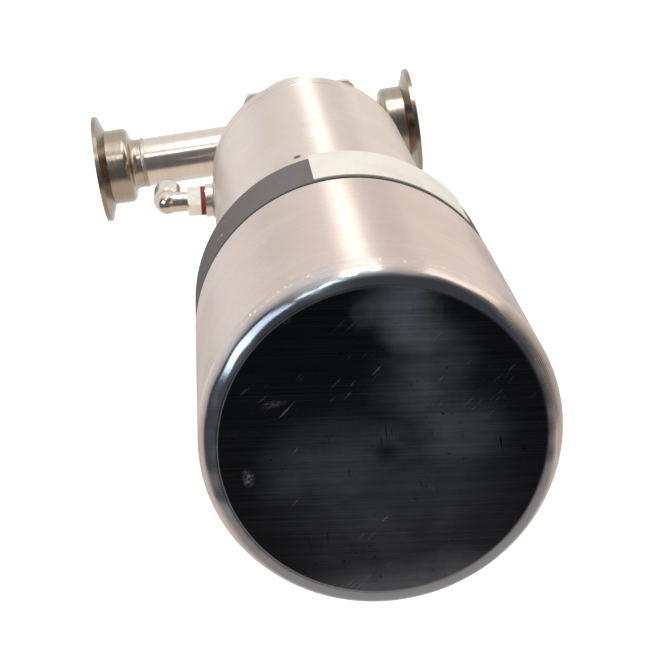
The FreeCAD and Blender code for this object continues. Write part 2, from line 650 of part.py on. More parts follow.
# Pinch chamber and its two welded ports, one long and one short.
def make_neck():
    neck = ring("pinch_chamber", "neck_bore / 2", "neck_od / 2", "base_thickness", "bonnet_low")
    drill_wall(neck, "port_height", "port_tube_od / 2 + slip")
    drill_wall(neck, "port_height", "port_tube_od / 2 + slip", turn="180")


def make_port(name, side, reach):
    """A port tube, trimmed to the chamber's bore, and its clamp ferrule. Side is 1 or -1 along X."""
    def at(distance):
        return "%d * (%s)" % (side, distance)
    def from_face(depth):
        return at("%s - (%s)" % (reach, depth))
    tube_bore, tube_out = "port_tube_bore / 2", "port_tube_od / 2"
    start = at("neck_bore / 4")
    tube = turned(name + "_tube", [
        (start, tube_bore), (start, tube_out), (from_face("ferrule_length"), tube_out),
        (from_face("ferrule_length"), tube_bore)], level="port_height")
    sketch = new_sketch(tube, "XY_Plane")
    circle(sketch, "0", "0", "neck_bore / 2")
    pocket(tube, sketch, with_normal=True)
    groove, half = "ferrule_od / 2 - gasket_groove_inset", "gasket_groove_width / 2"
    collar_r = "collar_od / 2 + slip"
    ferrule = turned(name + "_ferrule", [
        (from_face("0"), collar_r), (from_face("0"), groove + " - " + half),
        (from_face("gasket_groove_depth"), groove + " - " + half + " / 2"),
        (from_face("gasket_groove_depth"), groove + " + " + half + " / 2"),
        (from_face("0"), groove + " + " + half), (from_face("0"), "ferrule_od / 2"),
        (from_face("ferrule_rim"), "ferrule_od / 2"), (from_face("ferrule_root"), "hub_od / 2"),
        (from_face("hub_end"), "hub_od / 2"), (from_face("hub_end"), tube_out),
        (from_face("ferrule_length"), tube_out), (from_face("ferrule_length"), tube_bore),
        (from_face("collar_thickness"), tube_bore), (from_face("collar_thickness"), collar_r)],
        level="port_height")
    ease_rings(ferrule, "Fillet", "hub_round",
               [("hub_od / 2", from_face("hub_end")), (tube_out, from_face("hub_end"))], axis="x")


# Silicone sleeve, squeezed shut between the presser and the anvil and round again in both ports.
# Each section has SECTION_POINTS points, SWELL_STEPS sections lead from flat to round on each side,
# and FLATNESS says how square the squeezed ends are.
SECTION_POINTS = 16
SWELL_STEPS = 4
FLATNESS = 2.5


def squeezed_ring(distance, around, height, middle):
    """A closed curve across the flow: as long round as a circle of that diameter, but only so high."""
    half_side = (around - height) * math.pi / 4
    points = []
    for step in range(SECTION_POINTS):
        angle = 2 * math.pi * step / SECTION_POINTS
        across = half_side * math.tanh(FLATNESS * math.cos(angle)) / math.tanh(FLATNESS)
        points.append(FreeCAD.Vector(distance, across + height / 2 * math.cos(angle),
                                     middle + height / 2 * math.sin(angle)))
    curve = Part.BSplineCurve()
    curve.interpolate(Points=points, PeriodicFlag=True)
    return Part.Wire(curve.toShape())


def swelling(start, finish, around, low_height, wall, side):
    """Sections from the squeezed stretch to the round one, along a smooth step."""
    sections = []
    for step in range(SWELL_STEPS + 1):
        share = step / SWELL_STEPS
        smooth = share * share * (3 - 2 * share)
        height = low_height + (around - low_height) * smooth
        middle = size("anvil_top") + wall * smooth + height / 2
        if wall:
            middle = middle + (size("pinched_height") - low_height) / 2 * (1 - smooth)
        distance = side * (start + (finish - start) * share)
        sections.append(squeezed_ring(distance, around, height, middle))
    return sections


def make_sleeve():
    outer, inner = size("sleeve_od"), size("sleeve_bore")
    squeezed, slit = size("pinched_height"), size("slit_height")
    flat, slit_end, end = size("pinched_half"), size("slit_half"), size("round_at")
    wall = (outer - inner) / 2
    axis_point = FreeCAD.Vector(0, 0, size("port_height"))
    skins, hollows, tubes = [], [], []
    for side, reach in ((1, size("long_reach")), (-1, size("short_reach"))):
        along = FreeCAD.Vector(side, 0, 0)
        skins.append(swelling(flat, end, outer, squeezed, 0, side))
        hollows.append(Part.makeLoft(swelling(slit_end, end, inner, slit, wall, side), True))
        tube = Part.makeCylinder(outer / 2, reach - end, axis_point + along * end, along)
        collar_start = reach - size("collar_thickness")
        collar = Part.makeCylinder(size("collar_od") / 2, size("collar_thickness"),
                                   axis_point + along * collar_start, along)
        bore = Part.makeCylinder(inner / 2, reach - end, axis_point + along * end, along)
        tubes.append(tube.fuse(collar).cut(bore))
    middle = Part.makeLoft(skins[1][::-1] + skins[0], True)
    sleeve = doc.addObject("Part::Feature", "sleeve")
    sleeve.Shape = Part.makeCompound([middle.cut(hollows)] + tubes)
    pieces.append(sleeve)


# Base cap screwed into the chamber, with the fixed anvil on a peg.
def make_base():
    plug_r = "neck_bore / 2 - slip"
    middle = "base_thickness + base_plug / 2"
    half = "groove_width / 2"
    base = turned("base_cap", [
        ("0", "0"), ("neck_od / 2", "0"), ("neck_od / 2", "base_thickness"), (plug_r, "base_thickness"),
        (plug_r, middle + " - " + half), (plug_r + " - groove_depth", middle + " - " + half),
        (plug_r + " - groove_depth", middle + " + " + half), (plug_r, middle + " + " + half),
        (plug_r, "base_top"), ("0", "base_top")])
    ease_rings(base, "Chamfer", "base_edge", [("neck_od / 2", "0")])
    peg_hole = new_sketch(base, "XY_Plane", along="base_top")
    circle(peg_hole, "0", "0", "peg_d / 2 + slip")
    pocket(base, peg_hole, "peg_length + end_gap")
    spanner = new_sketch(base, "XY_Plane")
    for sign in ("", "-"):
        circle(spanner, sign + "spanner_spread / 2", "0", "spanner_hole_d / 2")
    pocket(base, spanner, "spanner_hole_depth", with_normal=True)
    ring("base_seal", plug_r + " - groove_depth + ring_side_gap", plug_r,
         middle + " - " + half + " + ring_side_gap", middle + " + " + half + " - ring_side_gap")
    anvil = new_body("anvil")
    block = new_sketch(anvil, "XY_Plane", along="base_top")
    rectangle(block, "anvil_width / 2", "anvil_length / 2")
    pad(anvil, block, "anvil_top - base_top")
    ease(anvil, "Fillet", "anvil_round", long_edges(anvil, "anvil_width / 2", "anvil_top"))
    peg = new_sketch(anvil, "XY_Plane", along="base_top")
    circle(peg, "0", "0", "peg_d / 2")
    pad(anvil, peg, "peg_length", reversed_way=True)


def rectangle(sketch, half_x, half_y):
    outline(sketch, [("-" + half_x, "-" + half_y), (half_x, "-" + half_y),
                     (half_x, half_y), ("-" + half_x, half_y)])


def long_edges(body, half_x, level):
    """Names of the straight edges along Y at plus and minus half_x and a level."""
    doc.recompute()
    names = []
    for index, edge in enumerate(body.Shape.Edges, start=1):
        centre = edge.BoundBox.Center
        flat = edge.BoundBox.XLength < EDGE_LEVEL and edge.BoundBox.ZLength < EDGE_LEVEL
        beside = abs(abs(centre.x) - size(half_x)) < EDGE_MATCH
        if flat and beside and abs(centre.z - size(level)) < EDGE_MATCH:
            names.append("Edge%d" % index)
    return names


# Moving presser: a round guide in the chamber with a blunt nose across the sleeve.
def make_presser():
    presser = new_body("presser")
    guide = new_sketch(presser, "XY_Plane", along="guide_low")
    circle(guide, "0", "0", "neck_bore / 2 - running")
    pad(presser, guide, "guide_height")
    ease_rings(presser, "Chamfer", "guide_edge",
               [("neck_bore / 2 - running", "guide_low"), ("neck_bore / 2 - running", "guide_top")])
    nose = new_sketch(presser, "XY_Plane", along="guide_low")
    rectangle(nose, "nose_width / 2", "nose_length / 2")
    pad(presser, nose, "nose_height", reversed_way=True)
    ease(presser, "Fillet", "nose_round", long_edges(presser, "nose_width / 2", "nose_low"))
    socket = new_sketch(presser, "XY_Plane", along="guide_top")
    circle(socket, "0", "0", "rod_tip_d / 2 + slip")
    pocket(presser, socket, "rod_tip + end_gap")
    cross = new_sketch(presser, "YZ_Plane")
    circle(cross, "0", "guide_top - cross_pin_drop", "cross_pin_d / 2 + slip")
    pocket(presser, cross, both_ways=True)
    pin = new_body("cross_pin")
    pin_end = new_sketch(pin, "YZ_Plane")
    circle(pin_end, "0", "guide_top - cross_pin_drop", "cross_pin_d / 2")
    pad(pin, pin_end, "cross_pin_length", both_ways=True)


# Piston rod: thick below its shoulder, thinner up through the centre head to the spring plate. Its
# threaded top is the stop that meets the upper spring seat when the sleeve is fully open.
def make_rod():
    rod = turned("piston_rod", [
        ("0", "guide_top - rod_tip"), ("rod_tip_d / 2", "guide_top - rod_tip"),
        ("rod_tip_d / 2", "guide_top"), ("rod_d / 2", "guide_top"), ("rod_d / 2", "piston_low"),
        ("rod_upper_d / 2", "piston_low"),
        ("rod_upper_d / 2", "plate_low"), ("rod_thread_d / 2", "plate_low"),
        ("rod_thread_d / 2", "rod_top"), ("0", "rod_top")])
    cross = new_sketch(rod, "YZ_Plane")
    circle(cross, "0", "guide_top - cross_pin_drop", "cross_pin_d / 2 + slip")
    pocket(rod, cross, both_ways=True)


# Piston with a lipped seal low on its edge and a guide ring above it.
def make_piston():
    edge_r = "bore_r - running"
    groove_r = edge_r + " - piston_seal_depth"
    seal_low = "piston_low + piston_land"
    seal_high = seal_low + " + piston_seal_height"
    guide_low = seal_high + " + piston_land"
    guide_high = guide_low + " + piston_guide_height"
    hole_r = "rod_upper_d / 2 + slip"
    piston = turned("piston", [
        (hole_r, "piston_low"), (edge_r, "piston_low"), (edge_r, seal_low), (groove_r, seal_low),
        (groove_r, seal_high), (edge_r, seal_high), (edge_r, guide_low),
        (edge_r + " - piston_guide_depth", guide_low), (edge_r + " - piston_guide_depth", guide_high),
        (edge_r, guide_high), (edge_r, "piston_top"), (hole_r, "piston_top")])
    ease_rings(piston, "Chamfer", "piston_edge", [(edge_r, "piston_low"), (edge_r, "piston_top")])
    floor_r = groove_r + " + ring_side_gap"
    high_side = seal_high + " - ring_side_gap"
    low_side = seal_low + " + ring_side_gap"
    turned("piston_seal", [
        (floor_r, low_side), (floor_r + " + seal_lip / 2", low_side),
        (floor_r + " + seal_lip", high_side + " - seal_lip"),
        (edge_r + " - seal_lip", high_side + " - seal_lip"), (edge_r + " - seal_lip / 2", low_side),
        (edge_r, low_side), (edge_r, high_side), (floor_r, high_side)])
    ring("piston_guide_ring", edge_r + " - piston_guide_depth + ring_side_gap", edge_r,
         guide_low + " + ring_side_gap", guide_high + " - ring_side_gap")
    nut("piston_nut", "piston_nut_flats", "piston_top", "piston_nut_height", "rod_upper_d / 2 + slip")


# Spring plate on the rod's top and the seat in the closed end.
def make_spring_plates():
    lip_r = "plate_r - plate_lip_width"
    turned("spring_plate", [
        ("rod_thread_d / 2 + slip", "plate_low"), ("plate_r", "plate_low"),
        ("plate_r", "plate_top + plate_lip"), (lip_r, "plate_top + plate_lip"), (lip_r, "plate_top"),
        ("rod_thread_d / 2 + slip", "plate_top")])
    nut("spring_plate_nut", "plate_nut_flats", "plate_top", "plate_nut_height", "rod_thread_d / 2 + slip")
    turned("spring_seat", [
        ("0", "seat_low - seat_boss_height"), ("seat_boss_r", "seat_low - seat_boss_height"),
        ("seat_boss_r", "seat_low"), ("seat_r", "seat_low"), ("seat_r", "end_inside"),
        ("0", "end_inside")])


def make_spring(name, mean_d, wire, turns, low, high):
    """A coil spring of flat-sided wire, with its ends ground flat on its two seats."""
    sides_square = FreeCAD.Rotation(FreeCAD.Vector(0, 0, 1), 45)
    standing = FreeCAD.Rotation(FreeCAD.Vector(1, 0, 0), 90)
    coil = doc.addObject("Part::Helix", name + "_line")
    coil.setExpression("Radius", cells(mean_d + " / 2"))
    coil.setExpression("Height", cells("%s - (%s)" % (high, low)))
    coil.setExpression("Pitch", cells("(%s - (%s)) / %s" % (high, low, turns)))
    place_at(coil, "0", "0", low)
    section = doc.addObject("Part::RegularPolygon", name + "_wire")
    section.Polygon = 4
    section.setExpression("Circumradius", cells(wire + " / sqrt(2)"))
    section.Placement = FreeCAD.Placement(FreeCAD.Vector(), standing.multiply(sides_square))
    place_at(section, mean_d + " / 2", "0", low)
    sweep = doc.addObject("Part::Sweep", name + "_sweep")
    sweep.Sections = [section]
    doc.recompute()
    sweep.Spine = (coil, ["Edge%d" % (index + 1) for index in range(len(coil.Shape.Edges))])
    sweep.Solid = True
    sweep.Frenet = True
    length = doc.addObject("Part::Cylinder", name + "_length")
    length.setExpression("Radius", cells("(%s + %s) / 2 + slip" % (mean_d, wire)))
    length.setExpression("Height", cells("%s - (%s) - 2 * spring_gap" % (high, low)))
    place_at(length, "0", "0", low + " + spring_gap")
    ground = doc.addObject("Part::Common", name)
    ground.Label = name
    ground.Base = sweep
    ground.Tool = length
    pieces.append(ground)


# Air connection: welded boss, red sealing washer, hexagon stem and a push-in elbow that swivels on it.
def make_air_fitting():
    boss = turned("air_boss", [
        ("bore_r", "air_thread_d / 2 + slip"), ("bore_r", "air_boss_od / 2"),
        ("air_boss_reach", "air_boss_od / 2"), ("air_boss_reach", "air_thread_d / 2 + slip")],
        level="air_level")
    saddle(boss, "barrel_r")
    washer = turned("red_washer", [
        ("air_boss_reach", "air_thread_d / 2 + slip"), ("air_boss_reach", "red_washer_od / 2"),
        ("washer_end", "red_washer_od / 2"), ("washer_end", "air_thread_d / 2 + slip")], level="air_level")
    stem = new_body("fitting_stem")
    face = new_sketch(stem, "YZ_Plane", along="washer_end")
    six_sided(face, "air_hex_flats", "air_level")
    pad(stem, face, "air_hex_width")
    bevel(stem, "air_hex_flats", [("hex_end", -1)], level="air_level")
    thread_length = "air_thread_bite + red_washer_thickness"
    for start, length, radius in (("washer_end - (%s)" % thread_length, thread_length, "air_thread_d / 2"),
                                  ("hex_end", "post_length", "post_d / 2")):
        sketch = new_sketch(stem, "YZ_Plane", along=start)
        circle(sketch, "0", "air_level", radius)
        pad(stem, sketch, length)
    way = new_sketch(stem, "YZ_Plane")
    circle(way, "0", "air_level", "post_bore / 2")
    pocket(stem, way, with_normal=True)
    for body in (boss, washer, stem):
        aim(body, "air_angle")


def make_elbow():
    """The elbow and its collet, made with the stem along X and then turned to the port's angle."""
    def below(depth):
        return "air_level - (%s)" % depth
    elbow = new_body("elbow")
    profile = new_sketch(elbow, "XZ_Plane")
    outline(profile, [
        ("outlet_x", below("-elbow_neck_d / 2")), ("outlet_x + elbow_neck_d / 2", below("-elbow_neck_d / 2")),
        ("outlet_x + elbow_neck_d / 2", below("elbow_flare_at - elbow_flare")),
        ("outlet_x + elbow_od / 2", below("elbow_flare_at")), ("outlet_x + elbow_od / 2", "outlet_end"),
        ("outlet_x", "outlet_end")])
    foot = FreeCAD.Vector(size("outlet_x"), 0, 0)
    head = FreeCAD.Vector(size("outlet_x"), size("elbow_drop"), 0)
    turning_line = profile.addGeometry(Part.LineSegment(foot, head), True)
    pin_point(profile, turning_line, 1, "outlet_x", "0")
    profile.addConstraint(Sketcher.Constraint("Vertical", turning_line))
    hold(profile, "Distance", turning_line, "elbow_drop")
    doc.recompute()
    spin = elbow.newObject("PartDesign::Revolution", "elbow_outlet")
    spin.Profile = profile
    spin.ReferenceAxis = (profile, ["Axis0"])
    spin.Angle = 360
    ease_rings(elbow, "Fillet", "elbow_corner", [("elbow_neck_d / 2", below("-elbow_neck_d / 2"))])
    ease_rings(elbow, "Chamfer", "elbow_edge", [("elbow_od / 2", "outlet_end")])
    stem = new_sketch(elbow, "YZ_Plane", along="hex_end + elbow_gap")
    circle(stem, "0", "air_level", "elbow_stem_d / 2")
    pad(elbow, stem, "elbow_out - elbow_gap")
    post = new_sketch(elbow, "YZ_Plane", along="hex_end + elbow_gap")
    circle(post, "0", "air_level", "post_d / 2 + running")
    pocket(elbow, post, "elbow_out + elbow_bottom - elbow_gap", with_normal=True)
    hose_r = "air_tube_d / 2 + hose_fit"
    for radius, depth in ((hose_r + " + collet_wall + running", "collet_depth"),
                          (hose_r + " + hose_room", "hose_stop"),
                          ("post_bore / 2", "elbow_drop")):
        sketch = new_sketch(elbow, "XY_Plane", along="outlet_end")
        circle(sketch, "outlet_x", "0", radius)
        pocket(elbow, sketch, depth, with_normal=True)
    collet = new_body("collet")
    flange = new_sketch(collet, "XY_Plane", along="outlet_end - collet_lift")
    circle(flange, "outlet_x", "0", "collet_flange_od / 2")
    pad(collet, flange, "collet_flange", reversed_way=True)
    ease_rings(collet, "Chamfer", "collet_edge",
               [("collet_flange_od / 2", "outlet_end - collet_lift - collet_flange")])
    sleeve = new_sketch(collet, "XY_Plane", along="outlet_end - collet_lift")
    circle(sleeve, "outlet_x", "0", hose_r + " + collet_wall")
    pad(collet, sleeve, "collet_lift + collet_depth - collet_play")
    hole = new_sketch(collet, "XY_Plane", along="outlet_end - collet_lift - collet_flange")
    circle(hole, "outlet_x", "0", hose_r)
    pocket(collet, hole, with_normal=True)
    for body in (elbow, collet):
        aim(body, "air_angle")


# Breather of the spring housing: welded boss, hexagon plug and sintered element, made along X, then aimed.
def make_breather():
    thread_r = "breather_thread_d / 2"
    boss = turned("breather_boss", [
        ("housing_inner_r", thread_r + " + slip"), ("housing_inner_r", "breather_boss_od / 2"),
        ("breather_face", "breather_boss_od / 2"), ("breather_face", thread_r + " + slip")],
        level="breather_level")
    saddle(boss, "housing_r")
    plug = new_body("breather_plug")
    face = new_sketch(plug, "YZ_Plane", along="breather_face")
    six_sided(face, "breather_hex_flats", "breather_level")
    pad(plug, face, "breather_hex_width")
    bevel(plug, "breather_hex_flats", [("breather_face + breather_hex_width", -1)], level="breather_level")
    thread = new_sketch(plug, "YZ_Plane", along="breather_face")
    circle(thread, "0", "breather_level", thread_r)
    pad(plug, thread, "breather_boss_height + housing_wall", reversed_way=True)
    way = new_sketch(plug, "YZ_Plane")
    circle(way, "0", "breather_level", "breather_way_d / 2")
    pocket(plug, way, with_normal=True)
    start = "breather_face + breather_hex_width"
    end = start + " + breather_element_length"
    element = turned("breather_element", [
        (start, "0"), (start, "breather_element_d / 2"), (end, "breather_element_d / 2"), (end, "0")],
        level="breather_level")
    ease_rings(element, "Fillet", "breather_element_round", [("breather_element_d / 2", end)], axis="x")
    for body in (boss, plug, element):
        aim(body, "breather_angle")


make_end_cap()
make_spring_housing()
make_centre_head()
make_label_plate()
make_barrel()
make_bonnet()
make_bonnet_bolts()
make_neck()
make_port("long_port", 1, "long_reach")
make_port("short_port", -1, "short_reach")
make_sleeve()
make_base()
make_presser()
make_rod()
make_piston()
make_spring_plates()
make_spring("main_spring", "main_spring_d", "main_spring_wire", "main_spring_turns", "piston_top", "web_low")
make_spring("housing_spring", "housing_spring_d", "housing_spring_wire", "housing_spring_turns",
            "plate_top", "seat_low")
make_air_fitting()
make_elbow()
make_breather()

doc.recompute()
for item in doc.Objects:
    if "Invalid" in item.State or "Error" in item.State:
        raise RuntimeError("%s failed: %s" % (item.Name, item.State))
for piece in pieces:
    shape = piece.Shape
    if shape.isNull() or not shape.isValid() or not shape.Solids:
        raise RuntimeError("%s has no valid solid" % piece.Label)

os.makedirs("parts", exist_ok=True)
for piece in pieces:
    piece.Shape.exportStep("parts/%s.step" % piece.Label)
    box = piece.Shape.BoundBox
    print("%-20s solids %d volume %9.1f  z %6.1f to %6.1f" % (
        piece.Label, len(piece.Shape.Solids), piece.Shape.Volume, box.ZMin, box.ZMax))
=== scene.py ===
import bpy
import math
import numpy as np
from mathutils import Matrix, Vector


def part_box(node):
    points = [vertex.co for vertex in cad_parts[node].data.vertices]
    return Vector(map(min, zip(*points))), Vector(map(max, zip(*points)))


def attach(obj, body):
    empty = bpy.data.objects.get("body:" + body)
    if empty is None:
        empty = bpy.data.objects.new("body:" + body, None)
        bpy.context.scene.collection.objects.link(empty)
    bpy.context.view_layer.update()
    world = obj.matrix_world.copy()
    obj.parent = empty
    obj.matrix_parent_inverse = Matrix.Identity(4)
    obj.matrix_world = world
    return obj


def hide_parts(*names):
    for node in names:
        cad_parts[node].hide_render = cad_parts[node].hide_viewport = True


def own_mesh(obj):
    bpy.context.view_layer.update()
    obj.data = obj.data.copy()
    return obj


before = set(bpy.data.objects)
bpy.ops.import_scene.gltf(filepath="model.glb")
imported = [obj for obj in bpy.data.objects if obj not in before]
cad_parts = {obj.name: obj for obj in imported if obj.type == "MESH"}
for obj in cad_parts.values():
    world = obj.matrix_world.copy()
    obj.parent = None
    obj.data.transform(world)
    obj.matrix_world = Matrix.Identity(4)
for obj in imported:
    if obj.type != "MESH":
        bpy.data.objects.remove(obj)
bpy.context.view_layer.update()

# Where the valve stands and where it is seen from: on its base cap on a pale floor, with the camera
# almost straight above the closed end, a little towards the side of the blank label. The camera's
# place is measured from the middle of the closed end, in radii of the spring housing.
HOUSING_RADIUS = 0.0525
CAMERA_PLACE = Vector((0.441, -3.854, 8.539))
CAMERA_RIGHT = Vector((-0.9875, 0.137, 0.078))
CAMERA_BACK = Vector((0.0262, -0.346, 0.938))
LENS, SENSOR_WIDTH = 95.0, 36.0
closed_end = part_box("end_cap")[1].z
camera_data = bpy.data.cameras.new("valve_camera")
camera_data.sensor_width = SENSOR_WIDTH
camera_data.lens = LENS
camera = bpy.data.objects.new("valve_camera", camera_data)
bpy.context.scene.collection.objects.link(camera)
seen_back = CAMERA_BACK.normalized()
seen_up = seen_back.cross(CAMERA_RIGHT.normalized()).normalized()
turn = Matrix((seen_up.cross(seen_back), seen_up, seen_back)).transposed().to_4x4()
camera_stand = CAMERA_PLACE * HOUSING_RADIUS + Vector((0, 0, closed_end))
camera.matrix_world = Matrix.Translation(camera_stand) @ turn
bpy.context.scene.camera = camera
bpy.context.scene.view_settings.view_transform = "Standard"


# Both shells: the spring housing, a rolled and welded tube of 105 mm, and the air barrel of 87 mm with
# its bonnet plate, belt-ground to a warm satin, a little askew on the barrel. The shader effects come
# first, as later sections use them too: belt lines, and the smudges and scratches that handling leaves.
def new_group(name, inputs, outputs):
    """A shader group with named inputs and outputs, each with its kind of socket."""
    group = bpy.data.node_groups.new(name, "ShaderNodeTree")
    for label, kind, value in inputs:
        socket = group.interface.new_socket(label, in_out="INPUT", socket_type=kind)
        if value is not None:
            socket.default_value = value
    for label, kind in outputs:
        group.interface.new_socket(label, in_out="OUTPUT", socket_type=kind)
    source = group.nodes.new("NodeGroupInput")
    sink = group.nodes.new("NodeGroupOutput")
    return group, source, sink


def add(tree, kind, settings=None, **values):
    """A node of one kind, with its settings and a value or link for each input, by label or i and number."""
    node = tree.nodes.new(kind)
    for key, value in (settings or {}).items():
        setattr(node, key, value)
    for key, value in values.items():
        socket = node.inputs[int(key[1:])] if key[0] == "i" and key[1:].isdigit() else node.inputs[key]
        if isinstance(value, bpy.types.NodeSocket):
            tree.links.new(value, socket)
        else:
            socket.default_value = value
    return node


def maths(tree, operation, *values, **settings):
    """The result of one step of arithmetic on numbers and links."""
    inputs = {"i%d" % number: value for number, value in enumerate(values)}
    return add(tree, "ShaderNodeMath", {"operation": operation, **settings}, **inputs).outputs[0]


def spread(tree, value, low, high, start=0.0, end=1.0):
    """Maps a mask from start and end to low and high, held at both ends."""
    return add(tree, "ShaderNodeMapRange", {"clamp": True}, Value=value, i1=start, i2=end, i3=low,
               i4=high).outputs[0]


FLOAT, VECTOR = "NodeSocketFloat", "NodeSocketVector"

# Belt lines: noise stretched so far along the belt's way that only lines are left, in two widths.
WIDE_SHARE = 0.11
belt, belt_in, belt_out = new_group("belt_lines", [
    ("Place", VECTOR, None), ("Across", VECTOR, (0, 0, 1)), ("Depth", FLOAT, 0.1)], [
    ("Lines", FLOAT), ("Streaks", FLOAT), ("Normal", VECTOR)])
fine = add(belt, "ShaderNodeMapping", i0=belt_in.outputs["Place"], i3=belt_in.outputs["Across"])
fine_noise = add(belt, "ShaderNodeTexNoise", Vector=fine.outputs[0], Scale=1.0, Detail=3.0, Roughness=0.6)
wide = add(belt, "ShaderNodeVectorMath", {"operation": "SCALE"}, i0=fine.outputs[0], Scale=WIDE_SHARE)
wide_noise = add(belt, "ShaderNodeTexNoise", Vector=wide.outputs[0], Scale=1.0, Detail=4.0, Roughness=0.65)
belt_bump = add(belt, "ShaderNodeBump", Strength=belt_in.outputs["Depth"], Distance=0.0004,
                Height=fine_noise.outputs["Fac"])
belt.links.new(fine_noise.outputs["Fac"], belt_out.inputs["Lines"])
belt.links.new(wide_noise.outputs["Fac"], belt_out.inputs["Streaks"])
belt.links.new(belt_bump.outputs["Normal"], belt_out.inputs["Normal"])

# Handling: a soft blotch mask, short hairlines in three directions, each the crests of noise stretched
# along it and kept to a few places, and small dark pits. A hairline has its turn and how much the
# noise varies along it, and edges are where a mask begins and where it is full.
BLOTCH_EDGES = (0.38, 0.66)
HAIRLINES = ((0.15, 0.10), (-0.85, 0.07), (1.05, 0.08))
CREST_EDGES = (0.70, 0.76)
PLACES_SIZE, PLACES_STEP = 55.0, 20.0
PLACES_EDGES = (0.50, 0.60)
PIT_SIZE = 900.0
PIT_EDGES = (0.7, 0.78)
worn, worn_in, worn_out = new_group("handling", [
    ("Place", VECTOR, None), ("Blotch size", FLOAT, 30.0), ("Scratch size", FLOAT, 1300.0),
    ("Amount", FLOAT, 0.5)], [("Blotches", FLOAT), ("Scratches", FLOAT), ("Specks", FLOAT)])
place = worn_in.outputs["Place"]
blotch = add(worn, "ShaderNodeTexNoise", Vector=place, Scale=worn_in.outputs["Blotch size"], Detail=4.0,
             Roughness=0.6)
worn.links.new(spread(worn, blotch.outputs["Fac"], 0.0, 1.0, *BLOTCH_EDGES), worn_out.inputs["Blotches"])
hairlines = None
for number, (angle, stretch) in enumerate(HAIRLINES):
    turned = add(worn, "ShaderNodeMapping", i0=place, i2=(0.1, 0.2 * angle, angle), i3=(1.0, stretch, 1.0))
    crests = add(worn, "ShaderNodeTexNoise", Vector=turned.outputs[0], Scale=worn_in.outputs["Scratch size"],
                 Detail=1.0)
    places = add(worn, "ShaderNodeTexNoise", Vector=place, Scale=PLACES_SIZE + PLACES_STEP * number,
                 Detail=1.0)
    kept = maths(worn, "MULTIPLY", spread(worn, crests.outputs["Fac"], 0.0, 1.0, *CREST_EDGES),
                 spread(worn, places.outputs["Fac"], 0.0, 1.0, *PLACES_EDGES))
    hairlines = kept if hairlines is None else maths(worn, "MAXIMUM", hairlines, kept)
worn.links.new(maths(worn, "MULTIPLY", hairlines, worn_in.outputs["Amount"]), worn_out.inputs["Scratches"])
grit = add(worn, "ShaderNodeTexNoise", Vector=place, Scale=PIT_SIZE, Detail=2.0)
worn.links.new(spread(worn, grit.outputs["Fac"], 0.0, 1.0, *PIT_EDGES), worn_out.inputs["Specks"])


def new_material(name):
    """A material with an empty node tree but its output and principled shader."""
    material = bpy.data.materials.new(name)
    material.use_nodes = True
    tree = material.node_tree
    shader = tree.nodes["Principled BSDF"]
    return material, tree, shader


def use(tree, group, **values):
    """One use of a shader group, with its inputs by their labels (spaces written as underscores)."""
    labelled = {key.replace("_", " "): value for key, value in values.items()}
    return add(tree, "ShaderNodeGroup", {"node_tree": group}, **labelled)


def place_of(tree):
    """Object coordinates, which are the valve's own frame in metres."""
    return add(tree, "ShaderNodeTexCoord").outputs["Object"]


def blend_colours(tree, amount, first, second):
    """A colour between two, by a mask."""
    return add(tree, "ShaderNodeMix", {"data_type": "RGBA"}, i0=amount, i6=first, i7=second).outputs[2]


def finish_node(material, *nodes):
    """Puts a material on carried-over nodes, in place of what they had."""
    for node in nodes:
        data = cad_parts[node].data
        data.materials.clear()
        data.materials.append(material)


def smooth_node(*nodes):
    """Soft shading on all faces of a node, whose sharp edges are already split in its mesh."""
    for node in nodes:
        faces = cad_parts[node].data.polygons
        faces.foreach_set("use_smooth", np.ones(len(faces), bool))


# Nearly all of a noise's values lie in NOISE_RANGE. The other values say how far a metal's tone and
# roughness follow its streaks, blotches, scratches and fine lines.
NOISE_RANGE = (0.3, 0.7)
STREAK_EDGES = (0.35, 0.7)
BLOTCH_SHARE = 0.6
BLOTCH_ROUGHNESS = 0.07
SCRATCH_LIGHT = 1.25
SMOOTHER, ROUGHER = 0.8, 1.25


def metal(name, colour, dark, roughness, across, depth, blotch_size=28.0, anisotropy=0.0, scratches=0.5,
          tint=0.35):
    """Bare metal: two tones in belt streaks and blotches, roughness that follows them, lines as relief."""
    material, tree, shader = new_material(name)
    place = place_of(tree)
    lines = use(tree, belt, Place=place, Across=across, Depth=depth)
    marks = use(tree, worn, Place=place, Blotch_size=blotch_size, Amount=scratches)
    streak = spread(tree, lines.outputs["Streaks"], 0.0, tint, *STREAK_EDGES)
    toned = blend_colours(tree, streak, colour, dark)
    blotched = maths(tree, "MULTIPLY", marks.outputs["Blotches"], tint * BLOTCH_SHARE)
    toned = blend_colours(tree, blotched, toned, dark)
    bright = tuple(min(1.0, part * SCRATCH_LIGHT) for part in colour[:3]) + (1.0,)
    toned = blend_colours(tree, marks.outputs["Scratches"], toned, bright)
    tree.links.new(toned, shader.inputs["Base Color"])
    rough = spread(tree, lines.outputs["Lines"], roughness * SMOOTHER, roughness * ROUGHER, *NOISE_RANGE)
    rough_marks = maths(tree, "MULTIPLY_ADD", marks.outputs["Blotches"], BLOTCH_ROUGHNESS, rough)
    tree.links.new(rough_marks, shader.inputs["Roughness"])
    tree.links.new(lines.outputs["Normal"], shader.inputs["Normal"])
    shader.inputs["Metallic"].default_value = 1.0
    shader.inputs["Anisotropic"].default_value = anisotropy
    return material, tree, shader


WARM_STEEL = (0.650, 0.535, 0.470, 1.0)
WARM_STEEL_DARK = (0.515, 0.415, 0.355, 1.0)
BARREL_STEEL = (0.700, 0.594, 0.520, 1.0)
BARREL_STEEL_DARK = (0.570, 0.475, 0.405, 1.0)
BARREL_CLIMB = math.radians(2.5)
SHELL_ROUGHNESS = 0.28
SHELL_STRETCH = 1.0
ROUND_THE_AXIS = (14.0, 14.0, 5200.0)


